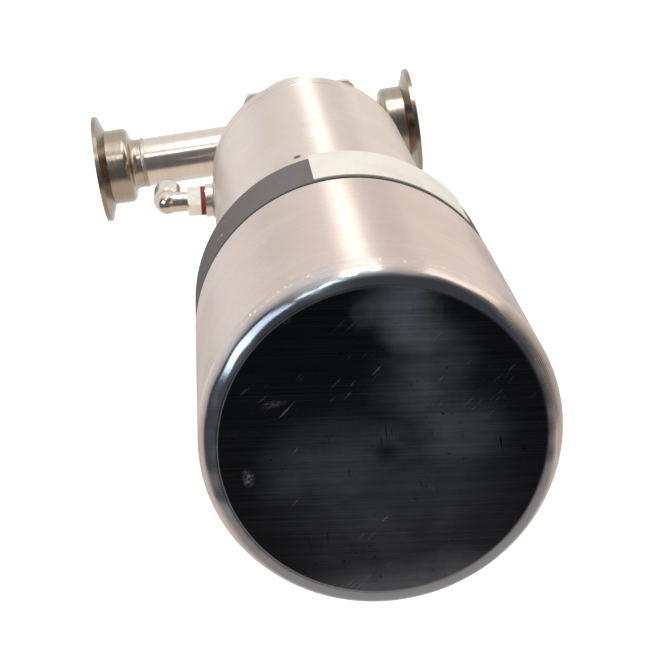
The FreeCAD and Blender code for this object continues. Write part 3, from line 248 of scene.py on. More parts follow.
def climbing(tree, place, climb):
    """The way across belt lines that climb by an angle: cos(climb) up and sin(climb) round the axis."""
    parts = add(tree, "ShaderNodeSeparateXYZ", Vector=place)
    back = maths(tree, "MULTIPLY", parts.outputs["Y"], -1.0)
    around = add(tree, "ShaderNodeCombineXYZ", X=back, Y=parts.outputs["X"], Z=0.0)
    around = add(tree, "ShaderNodeVectorMath", {"operation": "NORMALIZE"}, i0=around.outputs[0])
    around = add(tree, "ShaderNodeVectorMath", {"operation": "SCALE"}, i0=around.outputs[0],
                 Scale=math.sin(climb))
    upright = add(tree, "ShaderNodeVectorMath", {"operation": "ADD"}, i0=around.outputs[0],
                  i1=(0.0, 0.0, math.cos(climb)))
    return upright.outputs[0]


def ground_shell(name, colour, dark, climb):
    """Belt-ground steel for a shell that stands on the axis, with the belt lines' stretched sheen."""
    material, tree, shader = metal(name, colour, dark, SHELL_ROUGHNESS, ROUND_THE_AXIS, 0.10,
                                   anisotropy=SHELL_STRETCH, scratches=0.12, tint=0.40)
    tree.links.new(climbing(tree, place_of(tree), climb), shader.inputs["Tangent"])
    return material, tree, shader


def soft_patch(tree, place, centre, halves, level):
    """A soft oval mask, level (1 - q)^2 (1 + 2 q), with q the way out from its centre in half sizes."""
    off = add(tree, "ShaderNodeVectorMath", {"operation": "SUBTRACT"}, i0=place, i1=centre)
    off = add(tree, "ShaderNodeVectorMath", {"operation": "DIVIDE"}, i0=off.outputs[0], i1=halves)
    far = add(tree, "ShaderNodeVectorMath", {"operation": "LENGTH"}, i0=off.outputs[0])
    soft = add(tree, "ShaderNodeMapRange", {"clamp": True, "interpolation_type": "SMOOTHSTEP"},
               Value=far.outputs["Value"], i1=0.0, i2=1.0, i3=level, i4=0.0)
    return soft.outputs[0]


def tint_over(tree, shader, mask, colour):
    """Lays a colour over what the base colour already is, as far as a mask says."""
    toned = shader.inputs["Base Color"].links[0].from_socket
    tree.links.new(blend_colours(tree, mask, toned, colour), shader.inputs["Base Color"])


barrel_steel, tree, shader = ground_shell("barrel_steel", BARREL_STEEL, BARREL_STEEL_DARK, BARREL_CLIMB)
# A dark oily trace has crept down from the weep hole: its centre, half sizes and strength.
WEEP_TRACE = ((0.0081, -0.0427, 0.2343), (0.0022, 0.0060, 0.0034), 1.0)
OIL_TONE = (0.09, 0.07, 0.06, 1.0)
trace = spread(tree, soft_patch(tree, place_of(tree), *WEEP_TRACE), 0.0, 0.9, 0.15, 0.55)
tint_over(tree, shader, trace, OIL_TONE)
finish_node(barrel_steel, "barrel", "bonnet")
shell_steel, tree, shader = ground_shell("shell_steel", WARM_STEEL, WARM_STEEL_DARK, 0.0)
# The housing's lowest two millimetres, where it sits on the head, are near black and without metal sheen.
LOW_EDGE_HEIGHT = 0.0020
LOW_EDGE_TONE = (0.012, 0.011, 0.010, 1.0)
housing_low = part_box("spring_housing")[0].z
height = add(tree, "ShaderNodeSeparateXYZ", Vector=place_of(tree)).outputs["Z"]
low_edge_dark = spread(tree, height, 1.0, 0.0, housing_low + LOW_EDGE_HEIGHT * 0.7, housing_low + LOW_EDGE_HEIGHT)
tint_over(tree, shader, low_edge_dark, LOW_EDGE_TONE)
tree.links.new(spread(tree, low_edge_dark, 1.0, 0.0), shader.inputs["Metallic"])
tree.links.new(spread(tree, low_edge_dark, 0.5, 0.05), shader.inputs["Specular IOR Level"])
finish_node(shell_steel, "spring_housing")
smooth_node("spring_housing", "barrel")

# Closed end: a pressed steel end, ground straight across and then polished almost to a mirror, with a painted
# dark reflection of the dim room as its colour where it faces the camera, painted highlights in its corner
# and on the line where its flat begins, the satin of the shell outside its corner, and years of handling:
# lighter clouds, partly painted reflection and partly haze, hairline scuffs, small pits and a pip in the
# middle.
# The end's own tone is a painted dark reflection of the dim room overhead; its clouds are lighter painted
# reflection with haze.
END_DARK_REFLECTION = (0.015, 0.016, 0.019, 1.0)
END_HAZE_AND_REFLECTION = (0.33, 0.355, 0.405, 1.0)
# The corner's dark bluish grey is a painted dark reflection of the dim room overhead.
END_CORNER_DARK_REFLECTION = (0.215, 0.226, 0.250, 1.0)
# A lighter tone for the painted highlights in the corner, where the panes' reflections fall.
END_HIGHLIGHT = (0.43, 0.46, 0.50, 1.0)
FLAT_RADIUS = 0.0470
POLISHED = ((0.0014, -0.0020, 0.0488), (0.0000, 0.0030, 0.0484))
CORNER_BLEND = 0.0008
SATIN_START, SATIN_BLEND = 0.0006, 0.0020
EDGE_WOBBLE = 0.0016
CLOUD_STIR = (0.024, 0.010, 0.0)
SCUFF_TONE = (0.55, 0.57, 0.60, 1.0)
RUB_TONE = (0.50, 0.49, 0.56, 1.0)
NICK_TONE = (0.008, 0.008, 0.010, 1.0)
SPECK_TONE = (0.006, 0.006, 0.008, 1.0)
# A painted highlight on the ridge round the flat, brighter towards +X.
FLAT_LINE_HIGHLIGHT = (0.62, 0.65, 0.68, 1.0)
STRAIGHT_ACROSS = (16.0, 4200.0, 16.0)
GRIND_TURN = math.radians(7.9)
# The polish reaches out round two centres, each with its reach. Each soft patch on the end is its
# centre, its half sizes and its strength.
# Clouds: lighter patches of painted reflection with handling haze; the last is a painted soft highlight on
# the rim's +Y side.
HAZE_AND_REFLECTIONS = (((-0.0125, -0.0380, 0.0), (0.0170, 0.0250, 1.0), 0.95),
           ((-0.0150, -0.0180, 0.0), (0.0210, 0.0260, 1.0), 0.50),
           ((-0.0185, -0.0020, 0.0), (0.0240, 0.0260, 1.0), 0.36),
           ((0.0120, 0.0040, 0.0), (0.0300, 0.0200, 1.0), 0.44),
           ((-0.0020, 0.0160, 0.0), (0.0460, 0.0380, 1.0), 0.24),
           ((0.0000, 0.0560, 0.0), (0.0660, 0.0260, 1.0), 0.75))
# Painted highlights: lighter patches in the corner where the panes' reflections fall.
CORNER_HIGHLIGHTS = (((0.0372, -0.0332, 0.0), (0.0100, 0.0110, 1.0), 0.9),
               ((0.0110, -0.0492, 0.0), (0.0105, 0.0062, 1.0), 0.9))
MIDDLE_PIP = ((-0.0007, 0.0027, 0.0), (0.0055, 0.0045, 1.0), 0.85)
RUBBED = (((0.0394, 0.0040, 0.0), (0.0022, 0.0036, 1.0), 0.55),
          ((0.0476, -0.0082, 0.0), (0.0016, 0.0052, 1.0), 0.60),
          ((0.0290, -0.0172, 0.0), (0.0048, 0.0014, 1.0), 0.30),
          ((0.0225, -0.0415, 0.0), (0.0030, 0.0020, 1.0), 0.22))

end_steel, tree, shader = new_material("end_steel")
place = place_of(tree)
parts = add(tree, "ShaderNodeSeparateXYZ", Vector=place)
flat_place = add(tree, "ShaderNodeCombineXYZ", X=parts.outputs["X"], Y=parts.outputs["Y"])
from_axis = add(tree, "ShaderNodeVectorMath", {"operation": "LENGTH"}, i0=flat_place.outputs[0])
# How far beyond the polish a point lies, which is the least of its ways past both reaches.
past_polish = None
for across, along, reach in POLISHED:
    past = add(tree, "ShaderNodeVectorMath", {"operation": "DISTANCE"}, i0=flat_place.outputs[0],
               i1=(across, along, 0.0))
    past = maths(tree, "SUBTRACT", past.outputs["Value"], reach)
    past_polish = past if past_polish is None else maths(tree, "MINIMUM", past_polish, past)
# Grinding lines straight across the end, belt lines round the axis on the satin, and the handling.
ground = add(tree, "ShaderNodeVectorRotate", {"rotation_type": "Z_AXIS"}, Vector=place, Angle=GRIND_TURN)
lines = use(tree, belt, Place=ground.outputs[0], Across=STRAIGHT_ACROSS, Depth=0.05)
round_lines = use(tree, belt, Place=place, Across=ROUND_THE_AXIS, Depth=0.10)
aslant = add(tree, "ShaderNodeVectorRotate", {"rotation_type": "Z_AXIS"}, Vector=place, Angle=0.9)
marks = use(tree, worn, Place=aslant.outputs[0], Blotch_size=40.0, Scratch_size=1500.0, Amount=0.35)
# Masks: the satin beyond the polish, whose edge wobbles, the corner, and a painted highlight on the line
# round the flat, brighter towards +X.
wobble = add(tree, "ShaderNodeTexNoise", Vector=place, Scale=55.0, Detail=3.0)
edge = maths(tree, "MULTIPLY_ADD", wobble.outputs["Fac"], EDGE_WOBBLE, past_polish)
satin = spread(tree, edge, 0.0, 1.0, SATIN_START, SATIN_START + SATIN_BLEND)
corner = spread(tree, from_axis.outputs["Value"], 0.0, 1.0, FLAT_RADIUS, FLAT_RADIUS + CORNER_BLEND)
off_line = maths(tree, "SUBTRACT", from_axis.outputs["Value"], FLAT_RADIUS)
off_line = maths(tree, "ABSOLUTE", off_line)
flat_line_highlight = maths(tree, "MULTIPLY", spread(tree, off_line, 0.5, 0.0, 0.00004, 0.00026),
                  spread(tree, parts.outputs["X"], 0.05, 1.0, -0.02, 0.035))
# Clouds, painted reflection with haze: the strongest of the soft patches, stirred a little, blotched and
# streaked, clear at the pip.
stirred = add(tree, "ShaderNodeVectorMath", {"operation": "MULTIPLY_ADD"}, i0=wobble.outputs["Color"],
              i1=CLOUD_STIR, i2=flat_place.outputs[0])
stirred = add(tree, "ShaderNodeVectorMath", {"operation": "SUBTRACT"}, i0=stirred.outputs[0],
              i1=tuple(part / 2 for part in CLOUD_STIR))
haze_and_reflection = None
for oval in HAZE_AND_REFLECTIONS:
    patch = soft_patch(tree, stirred.outputs[0], *oval)
    haze_and_reflection = patch if haze_and_reflection is None else maths(tree, "MAXIMUM", haze_and_reflection, patch)
pip = soft_patch(tree, flat_place.outputs[0], *MIDDLE_PIP)
clear = maths(tree, "SUBTRACT", 1.0, pip, use_clamp=True)
haze_and_reflection = maths(tree, "MULTIPLY", haze_and_reflection, clear)
thick = spread(tree, marks.outputs["Blotches"], 0.55, 1.0)
haze_and_reflection = maths(tree, "MULTIPLY", haze_and_reflection, thick)
haze_and_reflection = maths(tree, "MULTIPLY", haze_and_reflection, spread(tree, lines.outputs["Streaks"], 0.8, 1.0, 0.35, 0.65))
# Tones, each laid over those before: clouds of painted reflection, lines, scuffs, rubs, nicks, specks, the
# corner's painted dark reflection and painted highlights, the flat line's painted highlight, and satin.
toned = blend_colours(tree, haze_and_reflection, END_DARK_REFLECTION, END_HAZE_AND_REFLECTION)
line_light = spread(tree, lines.outputs["Lines"], 0.0, 0.05, 0.5, 0.75)
toned = blend_colours(tree, line_light, toned, END_HAZE_AND_REFLECTION)
scuffed = add(tree, "ShaderNodeTexNoise", Vector=place, Scale=38.0, Detail=1.0)
scuffs = maths(tree, "MULTIPLY", marks.outputs["Scratches"],
               spread(tree, scuffed.outputs["Fac"], 0.0, 1.0, 0.54, 0.62))
toned = blend_colours(tree, scuffs, toned, SCUFF_TONE)
chatter = add(tree, "ShaderNodeTexNoise", Vector=place, Scale=1300.0, Detail=2.0)
for oval in RUBBED:
    rub = soft_patch(tree, flat_place.outputs[0], *oval)
    rub = maths(tree, "MULTIPLY", rub, spread(tree, chatter.outputs["Fac"], 0.0, 1.0, 0.35, 0.6))
    toned = blend_colours(tree, rub, toned, RUB_TONE)
nicks = use(tree, worn, Place=place, Blotch_size=40.0, Scratch_size=1100.0, Amount=0.95)
nicked = maths(tree, "MULTIPLY", nicks.outputs["Scratches"],
               spread(tree, scuffed.outputs["Fac"], 1.0, 0.0, 0.48, 0.56))
toned = blend_colours(tree, nicked, toned, NICK_TONE)
toned = blend_colours(tree, marks.outputs["Specks"], toned, SPECK_TONE)
toned = blend_colours(tree, corner, toned, END_CORNER_DARK_REFLECTION)
for oval in CORNER_HIGHLIGHTS:
    corner_highlight = maths(tree, "MULTIPLY", corner, soft_patch(tree, flat_place.outputs[0], *oval))
    toned = blend_colours(tree, corner_highlight, toned, END_HIGHLIGHT)
toned = blend_colours(tree, flat_line_highlight, toned, FLAT_LINE_HIGHLIGHT)
satin_tone = blend_colours(tree, spread(tree, round_lines.outputs["Streaks"], 0.0, 0.40, *STREAK_EDGES),
                           WARM_STEEL, WARM_STEEL_DARK)
toned = blend_colours(tree, satin, toned, satin_tone)
# Flecks: drops of bright weld spatter left under the corner, where the dressed seam runs.
SPATTER_LEVEL = closed_end - 0.0068
SPATTER_HALF = 0.0024
SPATTER_TONE = (1.0, 0.86, 0.62, 1.0)
beside = maths(tree, "SUBTRACT", parts.outputs["Z"], SPATTER_LEVEL)
beside = maths(tree, "ABSOLUTE", beside)
seam = spread(tree, beside, 1.0, 0.0, SPATTER_HALF * 0.5, SPATTER_HALF)
drops = add(tree, "ShaderNodeTexNoise", Vector=place, Scale=820.0, Detail=1.0)
fleck = maths(tree, "MULTIPLY", seam, spread(tree, drops.outputs["Fac"], 0.0, 1.0, 0.645, 0.675))
toned = blend_colours(tree, fleck, toned, SPATTER_TONE)
tree.links.new(toned, shader.inputs["Base Color"])
shader.inputs["Metallic"].default_value = 1.0
# The sheen stretches across the grinding lines on the end, and across the belt lines on the satin.
stretch = spread(tree, satin, 0.5, SHELL_STRETCH)
tree.links.new(stretch, shader.inputs["Anisotropic"])
grain_way = add(tree, "ShaderNodeMix", {"data_type": "VECTOR"}, i0=satin,
                i4=(math.sin(GRIND_TURN), math.cos(GRIND_TURN), 0.0), i5=(0.0, 0.0, 1.0))
tree.links.new(grain_way.outputs[1], shader.inputs["Tangent"])
flat_rough = spread(tree, lines.outputs["Lines"], 0.15, 0.24, *NOISE_RANGE)
satin_rough = spread(tree, round_lines.outputs["Lines"], SHELL_ROUGHNESS * SMOOTHER,
                     SHELL_ROUGHNESS * ROUGHER, *NOISE_RANGE)
rough = add(tree, "ShaderNodeMix", {"data_type": "FLOAT"}, i0=satin, i2=flat_rough, i3=satin_rough)
tree.links.new(rough.outputs[0], shader.inputs["Roughness"])
turned_normal = add(tree, "ShaderNodeMix", {"data_type": "VECTOR"}, i0=satin, i4=lines.outputs["Normal"],
                    i5=round_lines.outputs["Normal"])
raised = add(tree, "ShaderNodeBump", Strength=0.9, Distance=0.0006, Height=fleck,
             Normal=turned_normal.outputs[1])
# The hand polish left the corner a little wavy, so the panes' reflections break up along it.
waves = add(tree, "ShaderNodeTexNoise", Vector=place, Scale=62.0, Detail=1.0)
wavy = add(tree, "ShaderNodeBump", Strength=corner, Distance=0.0016, Height=waves.outputs["Fac"],
           Normal=raised.outputs["Normal"])
tree.links.new(wavy.outputs["Normal"], shader.inputs["Normal"])
finish_node(end_steel, "end_cap")
smooth_node("end_cap")

# Centre head: cast and turned aluminium, blasted to a fine matt grey, with a few bright knocks, and
# the black rubber seal that shows as a thin line where the housing sits on it.
HEAD_GREY = (0.158, 0.138, 0.127, 1.0)
HEAD_LIGHT = (0.210, 0.185, 0.171, 1.0)
HEAD_SCRATCH = (0.5, 0.49, 0.47, 1.0)
KNOCK_TONE = (0.62, 0.58, 0.52, 1.0)
KNOCKS = (((0.0384, -0.0355, 0.2937), (0.0009, 0.0009, 0.0016), 1.0),
          ((0.0399, -0.0338, 0.2924), (0.0007, 0.0007, 0.0012), 1.0))
head_grey, tree, shader = new_material("head_grey")
place = place_of(tree)
grain = add(tree, "ShaderNodeTexNoise", Vector=place, Scale=2600.0, Detail=3.0, Roughness=0.7)
marks = use(tree, worn, Place=place, Blotch_size=22.0, Amount=0.6)
toned = blend_colours(tree, spread(tree, grain.outputs["Fac"], 0.0, 0.8, 0.35, 0.65), HEAD_GREY, HEAD_LIGHT)
toned = blend_colours(tree, spread(tree, marks.outputs["Blotches"], 0.0, 0.35), toned, HEAD_LIGHT)
toned = blend_colours(tree, marks.outputs["Scratches"], toned, HEAD_SCRATCH)
for knock in KNOCKS:
    toned = blend_colours(tree, soft_patch(tree, place, *knock), toned, KNOCK_TONE)
tree.links.new(toned, shader.inputs["Base Color"])
shader.inputs["Specular IOR Level"].default_value = 0.06
tree.links.new(spread(tree, grain.outputs["Fac"], 0.82, 0.98, *NOISE_RANGE), shader.inputs["Roughness"])
pits = add(tree, "ShaderNodeBump", Strength=0.35, Distance=0.0002, Height=grain.outputs["Fac"])
tree.links.new(pits.outputs["Normal"], shader.inputs["Normal"])
finish_node(head_grey, "centre_head")


def grained(name, size, detail, first, second, tone_at, rough, relief=0.0):
    """A plain material whose tone between two colours, roughness and fine relief follow one noise."""
    material, tree, shader = new_material(name)
    grain = add(tree, "ShaderNodeTexNoise", Vector=place_of(tree), Scale=size, Detail=detail).outputs["Fac"]
    toned = blend_colours(tree, spread(tree, grain, 0.0, 1.0, *tone_at), first, second)
    tree.links.new(toned, shader.inputs["Base Color"])
    tree.links.new(spread(tree, grain, *rough, *NOISE_RANGE), shader.inputs["Roughness"])
    if relief:
        skin = add(tree, "ShaderNodeBump", Strength=relief, Distance=0.0002, Height=grain)
        tree.links.new(skin.outputs["Normal"], shader.inputs["Normal"])
    return material, tree, shader


black_rubber, tree, shader = grained("black_rubber", 160.0, 5.0, (0.006, 0.006, 0.007, 1.0),
                                     (0.020, 0.0195, 0.019, 1.0), (0.4, 0.75), (0.5, 0.75), 0.2)
shader.inputs["Specular IOR Level"].default_value = 0.15
finish_node(black_rubber, "joint_seal", "barrel_seal", "housing_seal", "bonnet_seal", "base_seal", "rod_seal",
            "rod_wiper", "piston_seal")

# Label: a plate of cream plastic film, glued round the head's band and left blank. Handling has
# yellowed it a little and rubbed fine marks into its satin face.
LABEL_CREAM = (0.84, 0.755, 0.625, 1.0)
LABEL_PULP = (0.76, 0.675, 0.555, 1.0)
LABEL_YELLOWED = (0.58, 0.53, 0.45, 1.0)
LABEL_SCRATCH = (0.42, 0.39, 0.34, 1.0)
label_cream, tree, shader = new_material("label_cream")
place = place_of(tree)
pulp = add(tree, "ShaderNodeTexNoise", Vector=place, Scale=1400.0, Detail=4.0)
marks = use(tree, worn, Place=place, Blotch_size=45.0, Amount=0.35)
toned = blend_colours(tree, spread(tree, pulp.outputs["Fac"], 0.0, 0.5, 0.35, 0.65), LABEL_CREAM,
                      LABEL_PULP)
toned = blend_colours(tree, spread(tree, marks.outputs["Blotches"], 0.0, 0.45), toned, LABEL_YELLOWED)
toned = blend_colours(tree, marks.outputs["Scratches"], toned, LABEL_SCRATCH)
tree.links.new(toned, shader.inputs["Base Color"])
tree.links.new(spread(tree, pulp.outputs["Fac"], 0.34, 0.5, *NOISE_RANGE), shader.inputs["Roughness"])
film = add(tree, "ShaderNodeBump", Strength=0.12, Distance=0.0002, Height=pulp.outputs["Fac"])
tree.links.new(film.outputs["Normal"], shader.inputs["Normal"])
shader.inputs["Coat Weight"].default_value = 0.25
shader.inputs["Coat Roughness"].default_value = 0.3
finish_node(label_cream, "label_plate")

# Ports, chamber and base cap: sanitary tube and turned ferrules, polished round the flow axis, with
# faint rings left by the polishing wheel and a light haze from handling.
PORT_STEEL = (0.66, 0.58, 0.51, 1.0)
PORT_STEEL_DARK = (0.44, 0.375, 0.32, 1.0)
FLANGE_REFLECTION_BROWN = (0.27, 0.215, 0.165, 1.0)
HUB_REACH = 0.0165
port_steel, tree, shader = metal("port_steel", PORT_STEEL, PORT_STEEL_DARK, 0.15, (2600.0, 22.0, 22.0), 0.05,
                                 blotch_size=60.0, scratches=0.4, tint=0.25)
finish_node(port_steel, "long_port_tube", "short_port_tube")
# The ferrules' steel is painted darker and browner than the tubes', a painted dark reflection.
ferrule_steel, tree, shader = metal("ferrule_steel", (0.50, 0.43, 0.345, 1.0), (0.27, 0.215, 0.16, 1.0), 0.20,
                                    (2600.0, 22.0, 22.0), 0.08, blotch_size=90.0, tint=0.5)
# The flange is painted duller and browner still than the hub beside it, a painted dark reflection seen at a
# grazing
# angle: past HUB_REACH from the port's own axis.
port_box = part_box("long_port_tube")
port_axis_z = (port_box[0].z + port_box[1].z) / 2
parts = add(tree, "ShaderNodeSeparateXYZ", Vector=place_of(tree))
above = maths(tree, "SUBTRACT", parts.outputs["Z"], port_axis_z)
round_port = add(tree, "ShaderNodeCombineXYZ", Y=parts.outputs["Y"], Z=above)
from_port = add(tree, "ShaderNodeVectorMath", {"operation": "LENGTH"}, i0=round_port.outputs[0])
flange = spread(tree, from_port.outputs["Value"], 0.0, 0.85, HUB_REACH, HUB_REACH + 0.002)
tint_over(tree, shader, flange, FLANGE_REFLECTION_BROWN)
finish_node(ferrule_steel, "long_port_ferrule", "short_port_ferrule")
chamber_steel, tree, shader = metal("chamber_steel", PORT_STEEL, PORT_STEEL_DARK, 0.24, (20.0, 20.0, 2600.0),
                                    0.08, blotch_size=50.0)
finish_node(chamber_steel, "pinch_chamber", "base_cap", "anvil", "presser", "air_boss", "breather_boss")
smooth_node("long_port_tube", "short_port_tube", "pinch_chamber")

# Fasteners: the bonnet's bolts on their washers, the nuts of the piston and of the spring plate, and
# the cross pin through presser and rod, all bare stainless with a dull, stained skin.
bolt_steel, tree, shader = metal("bolt_steel", (0.80, 0.74, 0.64, 1.0), (0.50, 0.44, 0.36, 1.0), 0.48,
                                 (900.0, 900.0, 900.0), 0.10, blotch_size=180.0, tint=0.6)
finish_node(bolt_steel, "bonnet_bolts", "bonnet_washers", "piston_nut", "spring_plate_nut", "cross_pin")

# Air fitting: a push-in elbow on a hexagon stem, both brass with a nickel plate, screwed into the air
# boss over a red fibre sealing washer. A black plastic collet in the elbow's end holds the hose.
nickel, tree, shader = metal("nickel", (0.64, 0.575, 0.49, 1.0), (0.40, 0.34, 0.27, 1.0), 0.15,
                             (700.0, 700.0, 700.0), 0.03, blotch_size=160.0, tint=0.45)
finish_node(nickel, "elbow", "breather_plug")
stem_nickel, tree, shader = metal("stem_nickel", (0.82, 0.77, 0.68, 1.0), (0.58, 0.52, 0.43, 1.0), 0.34,
                                  (700.0, 700.0, 700.0), 0.05, blotch_size=160.0, tint=0.3)
finish_node(stem_nickel, "fitting_stem")
red_fibre, tree, shader = grained("red_fibre", 1800.0, 4.0, (0.20, 0.035, 0.02, 1.0),
                                  (0.34, 0.075, 0.045, 1.0), (0.35, 0.65), (0.55, 0.8), 0.3)
shader.inputs["Specular IOR Level"].default_value = 0.2
finish_node(red_fibre, "red_washer")
collet_plastic, tree, shader = grained("collet_plastic", 900.0, 3.0, (0.018, 0.018, 0.02, 1.0),
                                       (0.035, 0.035, 0.038, 1.0), (0.4, 0.7), (0.26, 0.42))
finish_node(collet_plastic, "collet")

# Breather of the spring housing: a silencer of sintered bronze, pressed from small grains, which the
# nickel-plated plug holds in the breather boss.
sintered, tree, shader = new_material("sintered_bronze")
place = place_of(tree)
grains = add(tree, "ShaderNodeTexVoronoi", Vector=place, Scale=1700.0)
toned = blend_colours(tree, spread(tree, grains.outputs["Distance"], 0.0, 1.0, 0.2, 0.7),
                      (0.30, 0.22, 0.12, 1.0), (0.07, 0.048, 0.026, 1.0))
tree.links.new(toned, shader.inputs["Base Color"])
shader.inputs["Metallic"].default_value = 0.85
tree.links.new(spread(tree, grains.outputs["Distance"], 0.38, 0.7), shader.inputs["Roughness"])
pressed = add(tree, "ShaderNodeBump", {"invert": True}, Strength=0.8, Distance=0.0004,
              Height=grains.outputs["Distance"])
tree.links.new(pressed.outputs["Normal"], shader.inputs["Normal"])
finish_node(sintered, "breather_element")

# Inside: a hard-chromed and ground rod, the piston, spring plate and spring seat turned from aluminium
# alloy, and turned bronze bushes that guide the rod.
rod_steel, tree, shader = metal("rod_steel", (0.72, 0.72, 0.72, 1.0), (0.58, 0.58, 0.58, 1.0), 0.10,
                                (20.0, 20.0, 3000.0), 0.03, tint=0.2)
finish_node(rod_steel, "piston_rod")
alloy, tree, shader = metal("turned_alloy", (0.60, 0.60, 0.61, 1.0), (0.45, 0.45, 0.46, 1.0), 0.32,
                            (20.0, 20.0, 2200.0), 0.12)
finish_node(alloy, "piston", "spring_plate", "spring_seat")
bronze, tree, shader = metal("bush_bronze", (0.45, 0.27, 0.11, 1.0), (0.30, 0.17, 0.065, 1.0), 0.30,
                             (20.0, 20.0, 2400.0), 0.10)
finish_node(bronze, "rod_bush", "centre_bush")

# Springs: wound from square wire, close-wound in the last turn, ground flat at both ends and blackened.
# They push the ram down, and the coils ride with the valve body.
MAIN_WIRE, MAIN_OPEN_TURNS = 0.006, 5
HOUSING_WIRE, HOUSING_OPEN_TURNS = 0.007, 3
END_TURNS = 0.8
EASE_TURNS = 0.4
CLOSE_WOUND = 1.03
CORNER_POWER = 0.35
spring_black, tree, shader = metal("spring_black", (0.045, 0.045, 0.05, 1.0), (0.02, 0.02, 0.022, 1.0), 0.35,
                                   (300.0, 300.0, 300.0), 0.2, tint=0.6)
shader.inputs["Metallic"].default_value = 0.6
finish_node(spring_black, "main_spring", "housing_spring")


def tube_piece(name, points, material, closed):
    """A piece from rings of points, with a smooth face from each point to the next in both ways.

    closed joins the last ring to the first. An open tube gets a flat cap at each end.
    """
    rings, sides = points.shape[:2]
    row, column = np.meshgrid(np.arange(rings if closed else rings - 1), np.arange(sides), indexing="ij")
    ahead, beside = (row + 1) % rings, (column + 1) % sides
    faces = np.stack([ahead * sides + column, ahead * sides + beside, row * sides + beside,
                      row * sides + column], axis=-1).reshape(-1, 4).tolist()
    if not closed:
        last = (rings - 1) * sides
        faces += [list(range(sides)), list(range(last + sides - 1, last - 1, -1))]
    mesh = bpy.data.meshes.new(name)
    mesh.from_pydata(points.reshape(-1, 3).tolist(), [], faces)
    mesh.polygons.foreach_set("use_smooth", np.array([len(face) == 4 for face in faces]))
    mesh.materials.append(material)
    piece = bpy.data.objects.new(name, mesh)
    bpy.context.scene.collection.objects.link(piece)
    return piece


def coil_spring(node, wire, open_turns):
    """P(a, q) = (R + h c(q)) (cos 2 pi a, sin 2 pi a, 0) + (z(a) + h s(q)) up, kept between its end faces.

    R is the coil's middle radius and h half the wire. c and s are cos q and sin q to CORNER_POWER with
    their signs, and z climbs by CLOSE_WOUND wires a turn at the ends and an even, wider pitch between.
    """
    low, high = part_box(node)
    half, sides, steps_a_turn = wire / 2, 20, 72
    turns = open_turns + 2 * END_TURNS
    a = np.linspace(0, turns, int(turns * steps_a_turn) + 1)
    ease = np.clip((np.minimum(a, turns - a) - END_TURNS) / EASE_TURNS, 0, 1)
    ease = ease * ease * (3 - 2 * ease)
    opened = np.concatenate([[0.0], np.cumsum((ease[1:] + ease[:-1]) / 2)])
    climb = high.z - low.z + half - CLOSE_WOUND * wire * turns
    level = low.z - half / 2 + CLOSE_WOUND * wire * a + climb * opened / opened[-1]
    q = np.linspace(0, 2 * np.pi, sides, endpoint=False)
    radius = high.x - half + half * np.sign(np.cos(q)) * np.abs(np.cos(q)) ** CORNER_POWER
    rise = half * np.sign(np.sin(q)) * np.abs(np.sin(q)) ** CORNER_POWER
    angle = 2 * np.pi * a[:, None]
    points = np.stack([radius * np.cos(angle), radius * np.sin(angle),
                       np.clip(level[:, None] + rise, low.z, high.z)], axis=-1)
    coil = tube_piece(node + "_coil", points, spring_black, closed=False)
    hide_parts(node)
    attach(coil, "valve_body")
    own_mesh(coil)


coil_spring("main_spring", MAIN_WIRE, MAIN_OPEN_TURNS)
coil_spring("housing_spring", HOUSING_WIRE, HOUSING_OPEN_TURNS)

# Soft parts inside: the piston's guide ring, a band of filled plastic, and the sleeve, a moulded tube
# of milky silicone that the ram pinches shut, whose ends show in both ports.
guide, tree, shader = grained("guide_plastic", 700.0, 4.0, (0.02, 0.05, 0.035, 1.0), (0.04, 0.08, 0.06, 1.0),
                              (0.4, 0.7), (0.4, 0.55))
finish_node(guide, "piston_guide_ring")
silicone, tree, shader = grained("silicone", 120.0, 4.0, (0.62, 0.60, 0.55, 1.0), (0.52, 0.49, 0.44, 1.0),
                                 (0.35, 0.7), (0.38, 0.5))
shader.inputs["Subsurface Weight"].default_value = 0.2
shader.inputs["Subsurface Radius"].default_value = (0.002, 0.0016, 0.0012)
finish_node(silicone, "sleeve")

# Weld beads: hand-laid rings round both bosses, where the port tubes enter the chamber, and between
# each tube and its ferrule, then wire-brushed, with a straw tint where the steel ran hot.
def weld_bead(name, away, level, radius, shell_radius=None, butt_at=None, size=(0.0009, 0.0009), ripples=60):
    """A rippled ring P(t, q) = C(t) + w(t) (a cos q S(t) + b sin q away), with a and b from size.

    S(t) = cos t E + sin t K is the way out from the pipe's own axis, with E level and K upright. C(t) lies
    on the pipe, radius S(t), out along it as far as the shell, sqrt(shell_radius^2 - (radius cos t)^2), or
    as far as butt_at. w(t) = 1 + 0.1 |sin(ripples t / 2)| + 0.05 sin(7 t + 1).
    """
    across, upright = np.cross([0.0, 0.0, 1.0], away), np.array([0.0, 0.0, 1.0])
    steps, sides = 240, 12
    t = np.linspace(0, 2 * np.pi, steps, endpoint=False)[:, None, None]
    q = np.linspace(0, 2 * np.pi, sides, endpoint=False)[None, :, None]
    outward = np.cos(t) * across + np.sin(t) * upright
    reach = butt_at if shell_radius is None else np.sqrt(shell_radius ** 2 - (radius * np.cos(t)) ** 2)
    wave = 1 + 0.1 * np.abs(np.sin(ripples * t / 2)) + 0.05 * np.sin(7 * t + 1)
    points = (radius * outward + reach * away + upright * level
              + wave * (size[0] * np.cos(q) * outward + size[1] * np.sin(q) * away))
    bead = tube_piece(name, points, weld_steel, closed=True)
    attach(bead, "valve_body")


